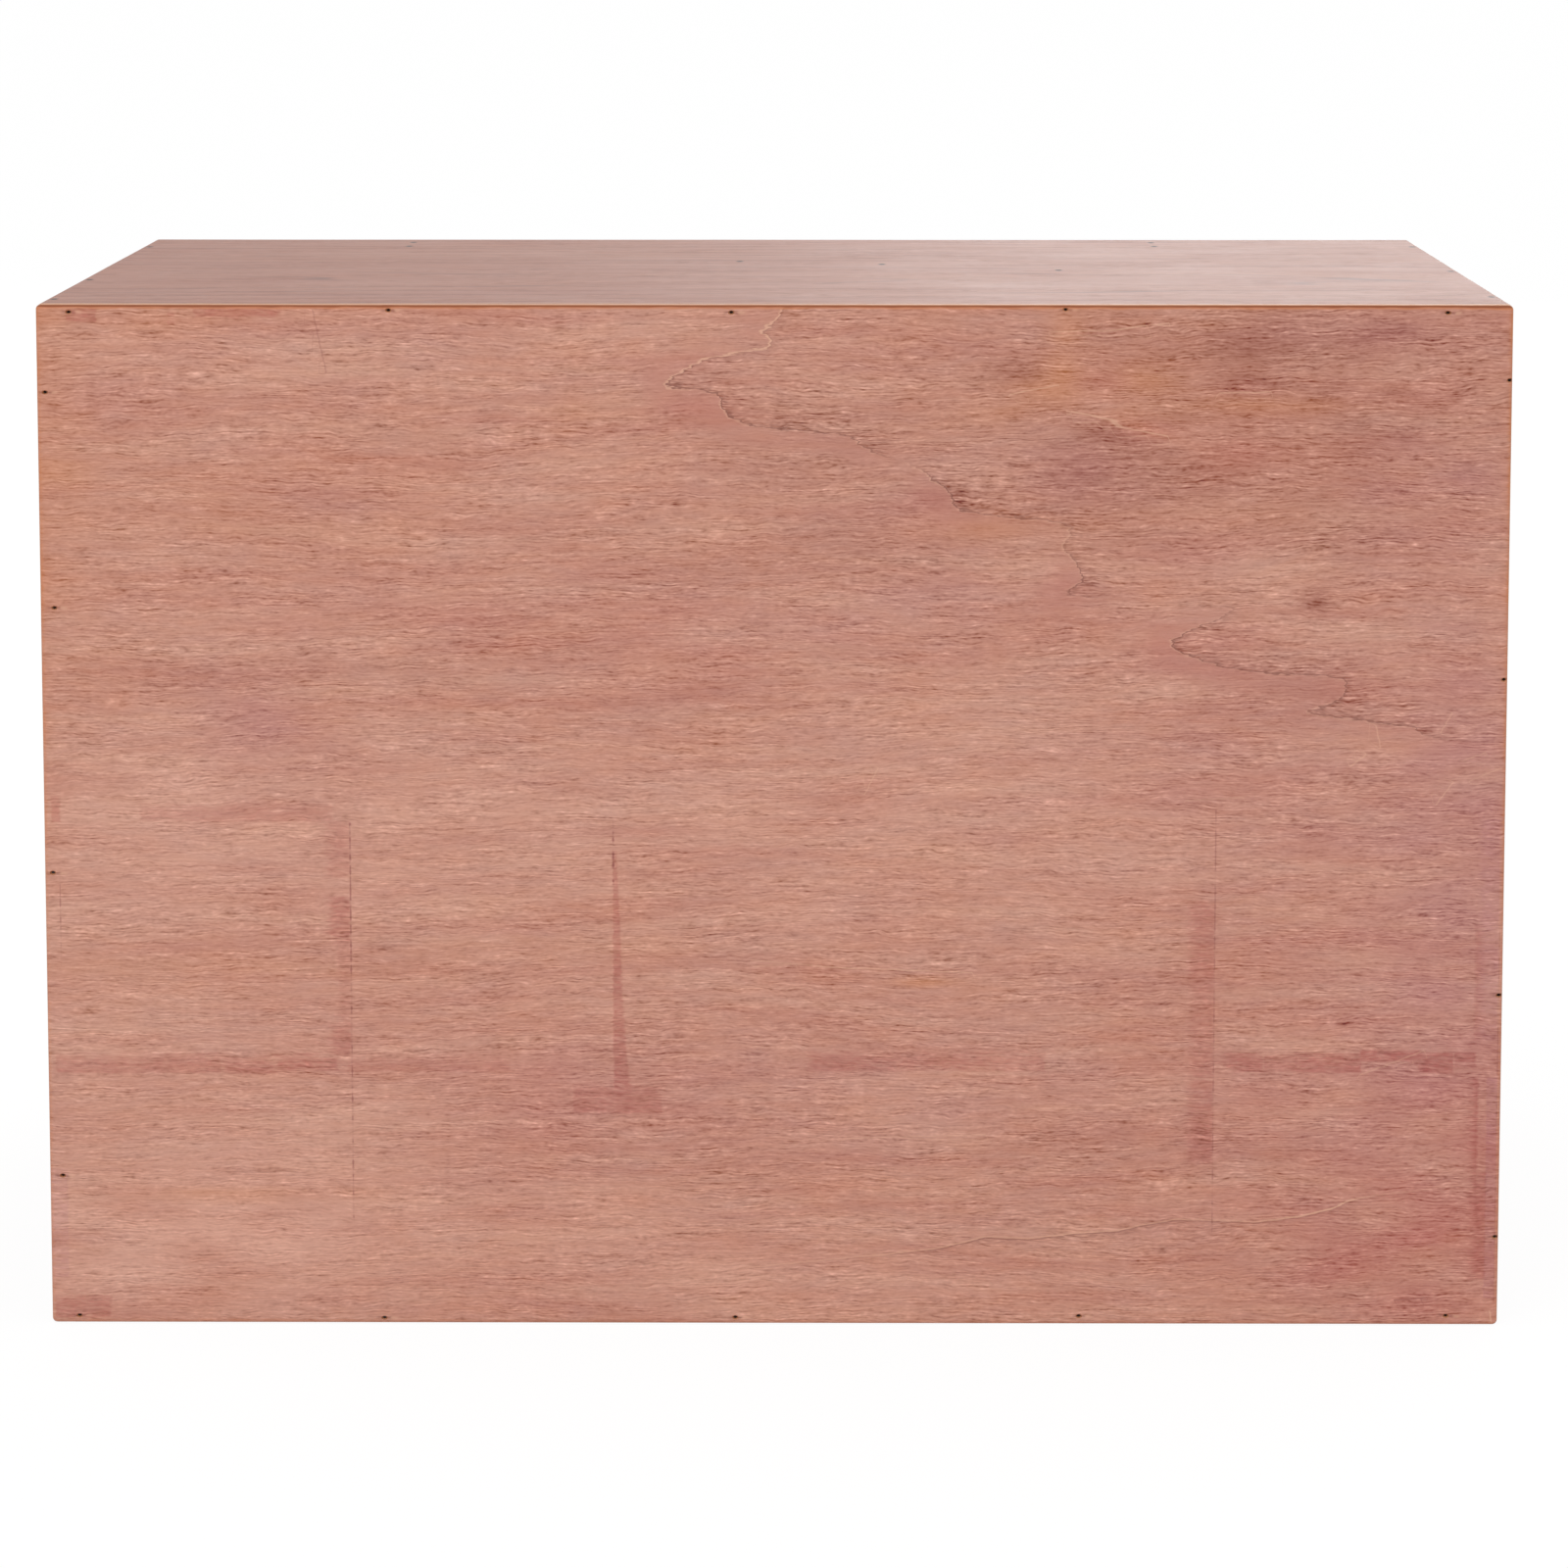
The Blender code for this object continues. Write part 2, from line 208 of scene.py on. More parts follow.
class Recipe:
    """A material's node tree, written as sums of wires."""

    def __init__(self, owner: bpy.types.Material | bpy.types.World) -> None:
        """Empties the tree of a material or a world."""
        owner.use_nodes = True
        self.owner = owner
        self.tree = owner.node_tree
        self.tree.nodes.clear()

    @classmethod
    def named(cls, name: str) -> "Recipe":
        """Starts a new material under that name."""
        return cls(bpy.data.materials.new(name))

    def node(self, kind: str, settings: dict[str, Any] | None = None,
             sockets: dict[Any, Term] | None = None, output: int | str = 0) -> Wire | None:
        """Adds one node.

        Args:
            kind: The node's type.
            settings: Its properties, set before its sockets.
            sockets: Values or wires, by a socket's identifier or number.
            output: Which output to return.

        Returns:
            That output, or None for a node that has none.
        """
        made = self.tree.nodes.new(kind)
        for name, value in (settings or {}).items():
            setattr(made, name, value)
        known = {socket.identifier: socket for socket in made.inputs}
        for name, value in (sockets or {}).items():
            socket = made.inputs[name] if isinstance(name, int) else known[name]
            if isinstance(value, Wire):
                self.tree.links.new(value.socket, socket)
            else:
                socket.default_value = value
        return Wire(self, made.outputs[output]) if made.outputs else None

    def maths(self, operation: str, *terms: Term) -> Wire:
        """Adds a Math node, or a Vector Math node where a term is a vector or a colour.

        Args:
            operation: The node's operation.
            terms: Its inputs in order.

        Returns:
            The result.
        """
        kind, sockets = "ShaderNodeVectorMath", dict(enumerate(terms))
        flat = [t.is_flat() if isinstance(t, Wire) else isinstance(t, (int, float)) for t in terms]
        if all(flat):
            kind = "ShaderNodeMath"
        elif operation == "MULTIPLY" and any(flat):
            scale, vector = terms if flat[0] else reversed(terms)
            operation, sockets = "SCALE", {0: vector, "Scale": scale}
        return self.node(kind, {"operation": operation}, sockets)

    def parts(self, vector: Wire) -> tuple[Wire, Wire, Wire]:
        """The three parts of a vector."""
        made = self.node("ShaderNodeSeparateXYZ", None, {"Vector": vector}).socket.node
        return tuple(Wire(self, socket) for socket in made.outputs)

    def vector(self, x: Term, y: Term, z: Term) -> Wire:
        """A vector of three parts."""
        return self.node("ShaderNodeCombineXYZ", None, {"X": x, "Y": y, "Z": z})

    def mix(self, share: Term, first: Term, second: Term, blend: str = "MIX") -> Wire:
        """A blend of two colours, all second where the share is 1."""
        return self.node("ShaderNodeMix", {"data_type": "RGBA", "blend_type": blend},
                         {"Factor_Float": share, "A_Color": first, "B_Color": second}, 2)

    def noise(self, point: Wire, sizes: Sequence[float], detail: float = 2.0) -> Wire:
        """Noise about 0.5 whose lumps have these sizes, in millimetres, along the point's three parts."""
        sockets = {"Vector": point * tuple(1 / size for size in sizes), "Scale": 1.0, "Detail": detail}
        return self.node("ShaderNodeTexNoise", {"noise_dimensions": "3D"}, sockets)

    def mark(self, name: str) -> Wire:
        """A number that the mesh carries at each of its points."""
        return self.node("ShaderNodeAttribute", {"attribute_name": name}, None, "Fac")

    def place(self) -> Wire:
        """The piece's own point, in millimetres."""
        return self.node("ShaderNodeTexCoord", None, None, "Object") * (1 / MM)

    def facing(self, axis: Axis) -> Wire:
        """How squarely the surface faces along an axis, from -1 to 1."""
        return self.parts(self.node("ShaderNodeTexCoord", None, None, "Normal"))[axis.value]

    def rim_distance(self, place: Wire, box: Box) -> Wire:
        """How far a point of a board's surface lies from the board's nearest edge.

        Of the three distances to the nearest planes of the board's box, one is zero on its surface,
        and the middle one is the distance to the edge.

        Args:
            place: The point, in millimetres.
            box: The board's lowest and highest corners, in metres.

        Returns:
            The distance, in millimetres.
        """
        low, high = (tuple(corner / MM) for corner in box)
        a, b, c = self.parts((place - low).least(high - place))
        return a.least(b).most(a.most(b).least(c))

    def finish(self, colour: Term, roughness: Term, height: Wire, relief: float,
               **plain: float) -> bpy.types.Material:
        """Ends the tree in a Principled surface.

        Args:
            colour: The base colour.
            roughness: The roughness.
            height: A height field for the bump, in units of the relief.
            relief: The height of one unit, in millimetres.
            plain: Numbers for other sockets, such as Metallic.

        Returns:
            The material.
        """
        bump = self.node("ShaderNodeBump", None, {"Height": height, "Distance": relief * MM})
        sockets = {"Base Color": colour, "Roughness": roughness, "Normal": bump}
        sockets.update({name.replace("_", " "): value for name, value in plain.items()})
        surface = self.node("ShaderNodeBsdfPrincipled", None, sockets)
        self.node("ShaderNodeOutputMaterial", None, {"Surface": surface})
        return self.owner


@dataclass(frozen=True)
class Grain:
    """The fibres of one piece, as noise whose lumps lie along them.

    Attributes:
        recipe: The recipe that it belongs to.
        point: The place, bent by the fibres' flow. Its first part runs along them.
        deep: How far the lumps reach along the second part, or None for as far as they are wide.
    """

    recipe: Recipe
    point: Wire
    deep: float | None

    def lumps(self, length: float, width: float) -> Wire:
        """Noise about 0 with lumps of that length and width."""
        return self.recipe.noise(self.point, (length, self.deep or width, width), 0.0) - 0.5

    def layers(self, layers: Layers) -> Wire:
        """The sum of several layers of lumps, each times its strength."""
        return reduce(operator.add, (self.lumps(*size) * strength for *size, strength in layers))


@dataclass(frozen=True)
class Wood:
    """A finish of sliced wood, stained or bare, with growth rings that run up as arches.

    Lengths are in millimetres, strengths and steps in steps of 255, and covers from 0 to 1.

    Attributes:
        pore: The tint of pores, ring lines and end grain.
        fibres: The length, width and strength of each layer of fine fibres.
        bands: The same of each layer of broad bands.
        band_share: How much of a band red, green and blue each take.
        late_start: The share of a ring at which its late wood begins.
        line_end: The share at which the late wood ends, in a dark line.
        line_share: The share that the line takes.
        line_length: How long the line's unbroken runs are.
        ring_wander: How far rings stray, in rings.
        pith_aside: How far the pith may lie to the side, as a share of the board's breadth.
        pith_depth: The least and the greatest depth of the pith under the board's middle.
        pith_slope: The least and the greatest slope of the pith along the board.
        heart: The pith's way to the side, depth and slope, where they aren't left to chance.
        nailed: Whether the mesh carries the marks of nails.
        haze: How much the roughness varies.
    """

    name: str
    base: Tint
    pore: Tint
    worn: Tint
    fibres: Layers = ((2.4, 0.4, 12.0), (7.0, 0.5, 22.0), (16.0, 0.8, 24.0))
    bands: Layers = ((70.0, 3.2, 14.0), (60.0, 9.0, 12.0), (170.0, 22.0, 20.0))
    band_share: Tint = (0.8, 1.05, 1.0)
    ring_spacing: float = 8.0
    ring_steps: float = -13.0
    late_start: float = 0.45
    line_end: float = 0.93
    line_cover: float = 0.3
    line_share: float = 0.07
    line_length: float = 90.0
    ring_wander: float = 1.2
    pith_aside: float = 0.3
    pith_depth: tuple[float, float] = (40.0, 90.0)
    pith_slope: tuple[float, float] = (0.05, 0.14)
    heart: tuple[float, float, float] | None = None
    nailed: bool = False
    bruise_cover: float = 0.85
    pore_cover: float = 0.45
    end_tone: float = 0.25
    worn_cover: float = 0.5
    roughness: float = 0.42
    haze: float = 0.1
    relief: float = 0.05
    coat: float = 0.0

    def pith(self, chance: np.random.Generator, breadth: float) -> tuple[float, float, float]:
        """Chooses where the pith, a straight line, runs under a board.

        Args:
            chance: The board's random numbers.
            breadth: The board's size across the grain.

        Returns:
            The pith's way to the side, its depth and its slope.
        """
        aside = float(chance.uniform(-self.pith_aside, self.pith_aside) * breadth)
        depth = float(chance.uniform(*self.pith_depth))
        slope = float(chance.uniform(*self.pith_slope) * chance.choice((-1, 1)))
        return self.heart or (aside, depth, slope)

    def nail_stain(self, recipe: Recipe, grit: Wire, colour: Wire) -> Wire:
        """Darkens the bruised wood round the nails, and paints their holes near black: dark torn wood with
        painted shade in the pits.

        Args:
            recipe: The board's recipe.
            grit: Its finest fibres, which fray the bruise.
            colour: The colour without the stain.

        Returns:
            The colour with it.
        """
        away = recipe.mark("nail_x").length(recipe.mark("nail_z") * 0.4) + grit * 0.5
        bruise = away.fall(0.8, 1.6) * recipe.mark("nail_far").fall(4.5, 5.5)
        colour = colour.toward(VENEER.hole, bruise * self.bruise_cover)
        # The pits turn near black: partly dark torn wood, partly painted shade.
        return colour.toward(VENEER.hole, recipe.mark("hole").rise(*HOLE.shown))

    def material(self, name: str, way: Axis, box: Box) -> bpy.types.Material:
        """Makes the finish for one board.

        A point's ring is its distance from the pith over the rings' spacing, plus a little wander.

        Args:
            name: The board's node, whose place among the nodes gives the board its own grain.
            way: The way that the grain runs.
            box: The board's lowest and highest corners, in metres.

        Returns:
            The material.
        """
        recipe = Recipe.named(f"{self.name}_{name}")
        chance = np.random.default_rng(sorted(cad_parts).index(name))
        place = recipe.place()
        parts = recipe.parts(place)
        size, middle = (box[1] - box[0]) / MM, (box[0] + box[1]) / 2 / MM
        thin, broad = sorted(way.plane, key=lambda axis: size[axis])
        along, side, thick = parts[way.value], parts[broad], parts[thin]
        start = tuple(map(float, chance.uniform(0, 4000, 3)))
        point = recipe.vector(along, side, thick) + start
        drift = (recipe.noise(point, (90, 30, 30), 1.0) - 0.5) * 9
        drift = drift + (recipe.noise(point, (14, 6, 6), 0.0) - 0.5)
        grain = Grain(recipe, point + recipe.vector(0.0, drift, drift), None)

        aside, depth, slope = self.pith(chance, size[broad])
        across = side + drift - (float(middle[broad]) + aside)
        height = along * slope + (depth - slope * float(middle[way.value])) + (thick - float(middle[thin]))
        wander = grain.lumps(60, 12) * self.ring_wander
        ring = recipe.maths("FRACT", across.length(height) * (1 / self.ring_spacing) + wander)
        late = ring.rise(self.late_start, self.line_end) * ring.fall(self.line_end, 1.0)
        line = ring.rise(self.line_end - self.line_share, self.line_end - 0.01)
        line = line * ring.fall(self.line_end, self.line_end + 0.04)

        clump = grain.lumps(40, 9).rise(-0.2, 0.2)
        bands = grain.layers(self.bands) + late * (clump * 0.6 + 0.4) * self.ring_steps
        fibres = grain.layers(self.fibres)
        colour = bands * level(self.base, self.band_share) + paint(self.base)[:3]
        colour = colour + fibres * (clump * 0.5 + 0.75) * level(self.base)
        grit = grain.lumps(9.0, 0.42)
        pore = grit.fall(-0.2, -0.1) * (clump * 0.7 + 0.3)
        line = line * (grain.lumps(self.line_length, 16) + grit * 0.4).rise(-0.1, 0.12)
        colour = colour.toward(self.pore, (pore * self.pore_cover).most(line * self.line_cover))

        end = abs(recipe.facing(way)).rise(0.75, 0.95)
        edge = recipe.rim_distance(place, box) + grit * 2.5
        worn = edge.fall(0.1, 0.8) * (1 - end) * grain.lumps(25, 25).rise(-0.2, 0.15)
        colour = colour.toward(self.worn, worn * self.worn_cover).toward(self.pore, end * self.end_tone)
        if self.nailed:
            colour = self.nail_stain(recipe, grit, colour)
        haze = recipe.noise(place, (45, 45, 45)) - 0.5
        rough = haze * self.haze + pore * 0.12 + grit * 0.15 + (worn * 0.15 + self.roughness)
        bump = grit + fibres * 0.02 - pore * 0.8
        return recipe.finish(colour, rough, bump, self.relief, Coat_Weight=self.coat)


@dataclass(frozen=True)
class Metal:
    """A finish of plain or plated metal, with fine scratches and a dulled film.

    Attributes:
        film_size: The size of the film's lumps, in millimetres.
        tarnish: The tint that gathers by the mesh's mark of that name, if any.
    """

    name: str
    bright: Tint
    dull: Tint
    roughness: float
    film_size: float = 4.0
    tarnish: Tint | None = None
    film_cover: float = 0.55
    tarnish_cover: float = 0.8
    relief: float = 0.006

    def material(self) -> bpy.types.Material:
        """Makes the finish.

        Returns:
            The material.
        """
        recipe = Recipe.named(self.name)
        place = recipe.place()
        film = recipe.noise(place, (self.film_size,) * 3, 3.0)
        scratch = recipe.noise(place, (5.0, 0.3, 0.3))
        dulled = film.rise(0.35, 0.75)
        colour = recipe.mix(dulled * self.film_cover, paint(self.bright), paint(self.dull))
        rough = dulled * 0.14 + (scratch * 0.1 + self.roughness)
        if self.tarnish is not None:
            dark = (recipe.mark("tarnish") * (film * 1.2 + 0.3)).limited()
            colour = colour.toward(self.tarnish, dark * self.tarnish_cover)
            rough = rough + dark * 0.2
        return recipe.finish(colour, rough, scratch + film * 0.3, self.relief, Metallic=1.0)


STAINED = Wood("stained_wood", base=(170, 107, 81), pore=(90, 46, 34), worn=(204, 146, 104),
               roughness=0.34, coat=0.15)
TOP = Wood("stained_top", base=(158, 98, 74), pore=(80, 38, 26), worn=(206, 148, 104), roughness=0.48,
           bands=((70.0, 3.2, 9.0), (60.0, 9.0, 8.0), (170.0, 22.0, 16.0)), ring_spacing=13.0,
           ring_steps=-10.0, line_cover=0.55, line_share=0.08, line_length=240.0, ring_wander=0.5,
           heart=(50.0, 45.0, -0.08), nailed=True)
BARE = Wood("bare_wood", base=(214, 180, 138), pore=(150, 108, 72), worn=(230, 204, 166),
            ring_steps=-16.0, pore_cover=0.35, end_tone=0.2, roughness=0.58, relief=0.06)
BRASS = Metal("brass", bright=(208, 174, 118), dull=(150, 114, 70), roughness=0.2, film_size=5.0,
              tarnish=(92, 66, 40))
BLACKENED = Metal("blackened", bright=(58, 46, 42), dull=(24, 18, 16), roughness=0.6)
STEEL = Metal("steel", bright=(176, 172, 166), dull=(112, 106, 100), roughness=0.3)


@dataclass(frozen=True)
class Lamp:
    """A square soft lamp that looks at the middle of the object."""

    name: str
    place: tuple[float, float, float]
    power: float
    size: float = 2.4
    aim: tuple[float, float, float] = (0.0, 0.0, 0.15)

    def build(self) -> None:
        """Hangs the lamp."""
        data = bpy.data.lights.new(self.name, "AREA")
        data.shape, data.size, data.energy = "SQUARE", self.size, self.power
        lamp = placed(self.name, data)
        lamp.location = self.place
        lamp.rotation_euler = (Vector(self.aim) - Vector(self.place)).to_track_quat("-Z", "Y").to_euler()


@dataclass(frozen=True)
class Studio:
    """A plain white studio: a pale floor, soft even light and the camera of the photograph.

    Attributes:
        shown_white: The share of plain white in what the camera sees of the floor.
        glow: How bright that white is.
        daylight: How brightly the sky lights, where 1 is as bright as it shows.
    """

    floor_size: float = 80.0
    floor_drop: float = 0.2 * MM
    white: Tint = (246, 246, 246)
    shown_white: float = 0.9
    glow: float = 1.03
    daylight: float = 0.76
    lens: float = 131.4
    sensor: float = 36.0
    shift: float = -0.1
    clip: tuple[float, float] = (0.05, 200.0)
    camera_place: tuple[float, float, float] = (-0.0149, 1.8299, 0.4287)
    pitch_degrees: float = 7.46
    yaw_degrees: float = 0.41
    lamps: tuple[Lamp, ...] = (
        Lamp("back_lamp", (0.9, 3.2, 2.2), 31.0), Lamp("front_lamp", (-1.1, -3.3, 1.5), 30.0))

    def camera(self) -> None:
        """Sets the camera, behind the object and a little above it, at the fitted place and turn."""
        data = bpy.data.cameras.new("camera")
        data.lens, data.sensor_width, data.shift_y = self.lens, self.sensor, self.shift
        data.clip_start, data.clip_end = self.clip
        camera = placed("camera", data)
        camera.location = self.camera_place
        turn = map(math.radians, (90 - self.pitch_degrees, 0, 180 + self.yaw_degrees))
        camera.rotation_euler = tuple(turn)
        bpy.context.scene.camera = camera

    def seen_by_eye(self, recipe: Recipe) -> Wire:
        """1 for rays from the camera, a mirror or a lens, and 0 for those that carry light."""
        names = ("Is Camera Ray", "Is Glossy Ray", "Is Transmission Ray")
        return reduce(Wire.most, (recipe.node("ShaderNodeLightPath", None, None, name) for name in names))

    def floor(self) -> None:
        """Lays a wide floor that shows nearly white and keeps a soft share of the object's shadow."""
        half = self.floor_size / 2
        corners = [(-half, -half), (half, -half), (half, half), (-half, half)]
        mesh = bpy.data.meshes.new("floor")
        mesh.from_pydata([(x, y, -self.floor_drop) for x, y in corners], [], [(0, 1, 2, 3)])
        floor = placed("floor", mesh)
        recipe = Recipe.named("studio_floor")
        matt = recipe.node("ShaderNodeBsdfDiffuse", None, {"Color": paint(self.white)})
        glow = recipe.node("ShaderNodeEmission", None, {"Color": (1, 1, 1, 1), "Strength": self.glow})
        share = self.seen_by_eye(recipe) * self.shown_white
        mixed = recipe.node("ShaderNodeMixShader", None, {0: share, 1: matt, 2: glow})
        recipe.node("ShaderNodeOutputMaterial", None, {"Surface": mixed})
        mesh.materials.append(recipe.owner)

    def world(self) -> None:
        """Gives an even white sky that shows as white and lights at a lower level."""
        world = bpy.data.worlds.new("studio_sky")
        recipe = Recipe(world)
        strength = self.seen_by_eye(recipe) * (1 - self.daylight) + self.daylight
        sky = recipe.node("ShaderNodeBackground", None, {"Color": (1, 1, 1, 1), "Strength": strength})
        recipe.node("ShaderNodeOutputWorld", None, {"Surface": sky})
        bpy.context.scene.world = world

    def build(self) -> None:
        """Sets the camera, the floor, the sky, the lamps and the plain view transform."""
        self.camera()
        self.floor()
        self.world()
        for lamp in self.lamps:
            lamp.build()
        bpy.context.scene.view_settings.view_transform = "Standard"


@dataclass
class Surface:
    """The points and faces of one piece, with the numbers that its points carry."""

    points: np.ndarray
    faces: list[list[int]]
    marks: dict[str, np.ndarray] = field(default_factory=dict)

    def to_object(self, name: str, body: str, slot: str, material: bpy.types.Material,
                  replaced: Sequence[str] = ()) -> None:
        """Makes the surface an object at the origin that rides on a body.

        Args:
            name: The piece's name.
            body: The body that it moves with.
            slot: The record's material slot, which is not used.
            material: Its finish.
            replaced: The nodes that it stands for.
        """
        mesh = bpy.data.meshes.new(name)
        mesh.from_pydata(self.points.tolist(), [], self.faces)
        mesh.shade_smooth()
        mesh.set_sharp_from_angle(angle=math.radians(SHARP_DEGREES))
        for mark, values in self.marks.items():
            layer = mesh.attributes.new(mark, "FLOAT", "POINT")
            layer.data.foreach_set("value", values.astype(np.float32))
        mesh.materials.append(material)
        piece = placed(name, mesh)
        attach(piece, body)
        if replaced:
            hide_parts(*replaced)
        log.info("%s: %d points, %d faces", name, len(self.points), len(self.faces))


def even_lines(low: float, high: float, spacing: float, extra: Sequence[float] = ()) -> np.ndarray:
    """Places dividing lines along one axis.

    The lines are evenly spaced, the extra ones are put in, and an even line too near an extra one
    is left out.

    Args:
        low: The first line.
        high: The last line.
        spacing: The even spacing.
        extra: Lines that must be there.

    Returns:
        The places of the lines, rising.
    """
    even = np.linspace(low, high, max(2, round((high - low) / spacing) + 1))
    wanted = np.unique(np.round(np.asarray(extra, float), LINE_DECIMALS))
    wanted = wanted[(wanted > low + LEAST_GAP) & (wanted < high - LEAST_GAP)]
    if len(wanted):
        near = np.abs(even[:, None] - wanted[None, :]).min(1) < NEAR_SHARE * spacing
        near[[0, -1]] = False
        even = np.concatenate([even[~near], wanted])
    return np.sort(even)


def rounding_lines(low: float, high: float, low_radius: float, high_radius: float) -> np.ndarray:
    """Places lines near both ends of an axis, where an edge's round needs them.

    On a square turned into a circle, a line at a share t of the radius lands at the angle whose
    tangent is t, so the tangents of even angles give an even round. One more line lies past it.

    Args:
        low: The low end.
        high: The high end.
        low_radius: The radius of the round at the low end.
        high_radius: The radius of the round at the high end.

    Returns:
        The places of the lines.
    """
    inside = np.append(1 - np.tan(np.radians(ROUND_DEGREES)), PAST_ROUND)
    return np.concatenate([low + low_radius * inside, high - high_radius * inside])


@dataclass
class Shell:
    """The skin of a block that lines along X, Y and Z divide into cells, some of them cut away.

    Attributes:
        lines: The places of the lines along each axis.
    """

    lines: tuple[np.ndarray, np.ndarray, np.ndarray]

    def __post_init__(self) -> None:
        """Starts with every cell solid."""
        self.solid = np.ones([len(line) - 1 for line in self.lines], bool)

    def cut(self, low: Sequence[float], high: Sequence[float]) -> None:
        """Takes away the cells whose middles lie in a box.

        Args:
            low: The box's lowest corner.
            high: Its highest corner.
        """
        inside = [(line[:-1] + line[1:]) / 2 for line in self.lines]
        inside = [(middle > a) & (middle < b) for middle, a, b in zip(inside, low, high)]
        self.solid &= ~(inside[0][:, None, None] & inside[1][None, :, None] & inside[2][None, None, :])

    def skin(self) -> tuple[np.ndarray, np.ndarray]:
        """Finds the four-sided faces between each solid cell and an empty neighbour.

        Returns:
            The points, and the faces as rows of four point numbers, pointing out.
        """
        grid = np.stack(np.meshgrid(*self.lines, indexing="ij"), -1)
        numbers = np.arange(grid[..., 0].size).reshape(grid.shape[:3])
        found = []
        for axis in range(3):
            order = (axis, (axis + 1) % 3, (axis + 2) % 3)
            cells = np.pad(self.solid.transpose(order), ((1, 1), (0, 0), (0, 0)))
            nodes = numbers.transpose(order)
            quads = np.stack([nodes[:, :-1, :-1], nodes[:, 1:, :-1], nodes[:, 1:, 1:], nodes[:, :-1, 1:]], -1)
            found.append(quads[cells[:-1] & ~cells[1:]])
            found.append(quads[~cells[:-1] & cells[1:]][:, ::-1])
        faces = np.concatenate(found)
        used, inverse = np.unique(faces, return_inverse=True)
        return grid.reshape(-1, 3)[used], inverse.reshape(faces.shape)


def round_edges(points: np.ndarray, low: np.ndarray, high: np.ndarray, low_radii: np.ndarray,
                high_radii: np.ndarray) -> np.ndarray:
    """Turns a block's square edges and corners into round ones.

    A point within a radius of an edge has an offset, in radii, from the block inside. Its offset is
    scaled by its largest part over its length, so squares of offsets become circles.

    Args:
        points: The block's points.
        low: The block's lowest corner.
        high: The block's highest corner.
        low_radii: The radius at the low end of each axis.
        high_radii: The radius at the high end of each axis.

    Returns:
        The moved points.
    """
    core = np.clip(points, low + low_radii, high - high_radii)
    offset = points - core
    share = np.abs(offset) / np.where(offset < 0, low_radii, high_radii)
    length = np.linalg.norm(share, axis=1)
    scale = np.divide(share.max(1), length, out=np.ones_like(length), where=length > 0)
    return core + offset * scale[:, None]


@dataclass(frozen=True)
class NailHole:
    """The hole that a small headless nail leaves, in metres.

    Square rings of the grid round a hole's middle become circles, and each sinks by its place:
    flat on the nail's head, up the wall to the rim, over a low torn lip and out to the board.

    Attributes:
        floor: The radius of the flat bottom, from which the wall, the lip and the reach go out.
        stretch: The hole's size along the face's two axes, as shares of a round one's.
        shown: The depths, in millimetres, at which a finish begins and ends turning dark, partly painted
            shade in the hole.
    """

    floor: float = 0.45 * MM
    rim: float = 0.78 * MM
    lip: float = 1.05 * MM
    reach: float = 1.9 * MM
    depth: float = 0.8 * MM
    lip_height: float = 0.05 * MM
    stretch: tuple[float, float] = (1.22, 0.82)
    shown: tuple[float, float] = (0.0, 0.2)

    def lines(self, middles: Sequence[float]) -> np.ndarray:
        """Places the grid's lines that the holes need, along one axis.

        Args:
            middles: The holes' middles.

        Returns:
            The places of the lines.
        """
        rings = np.array([self.floor, self.rim, self.lip, self.reach])
        offsets = np.concatenate([-rings, [0], rings])
        return (np.asarray(middles)[:, None] + offsets).ravel()

    def sink(self, points: np.ndarray, on_face: np.ndarray, out: Axis, middles: np.ndarray) -> np.ndarray:
        """Sinks a hole at each middle.

        Args:
            points: The board's points, changed in place.
            on_face: Which of them lie on the nailed face.
            out: The axis that it faces along, on its high side.
            middles: The holes' middles, one row each.

        Returns:
            How deep each point went, in millimetres.
        """
        sunk = np.zeros(len(points))
        for middle in middles:
            offset = points[:, out.plane] - middle
            ring = np.abs(offset).max(1)
            near = on_face & (ring < self.reach - ON_PLANE)
            offset, ring = offset[near], ring[near]
            length = np.linalg.norm(offset, axis=1)
            weight = np.clip((self.reach - ring) / (self.reach - self.lip), 0, 1)
            rounder = np.divide(ring, length, out=np.ones_like(length), where=length > 0)
            scale = 1 + weight[:, None] * (rounder[:, None] * self.stretch - 1)
            places = (0, self.floor, self.rim, self.lip, self.reach)
            depth = np.interp(ring, places, (self.depth, self.depth, 0, -self.lip_height, 0))
            moved = points[near]
            moved[:, out.plane] = middle + offset * scale
            moved[:, out.value] -= depth
            points[near] = moved
            sunk[near] = depth / MM
        return sunk


HOLE = NailHole()


def nail_marks(points: np.ndarray, middles: np.ndarray, reach: float = 8.0) -> dict[str, np.ndarray]:
    """Finds each point's offset from its nearest nail.

    "nail_far" is the larger of the two parts. It shows a finish where the offset of one nail jumps
    to that of the next, which is always far from both.

    Args:
        points: The points on their face's two axes.
        middles: The nails' middles.
        reach: The longest offset, in millimetres.

    Returns:
        The marks "nail_x", "nail_z" and "nail_far", in millimetres.
    """
    offsets = points[:, None, :] - middles[None, :, :]
    away = np.abs(offsets).max(2)
    chosen = offsets[np.arange(len(points)), away.argmin(1)] / MM
    x, z = np.clip(chosen, -reach, reach).T
    return {"nail_x": x, "nail_z": z, "nail_far": np.minimum(away.min(1) / MM, reach)}


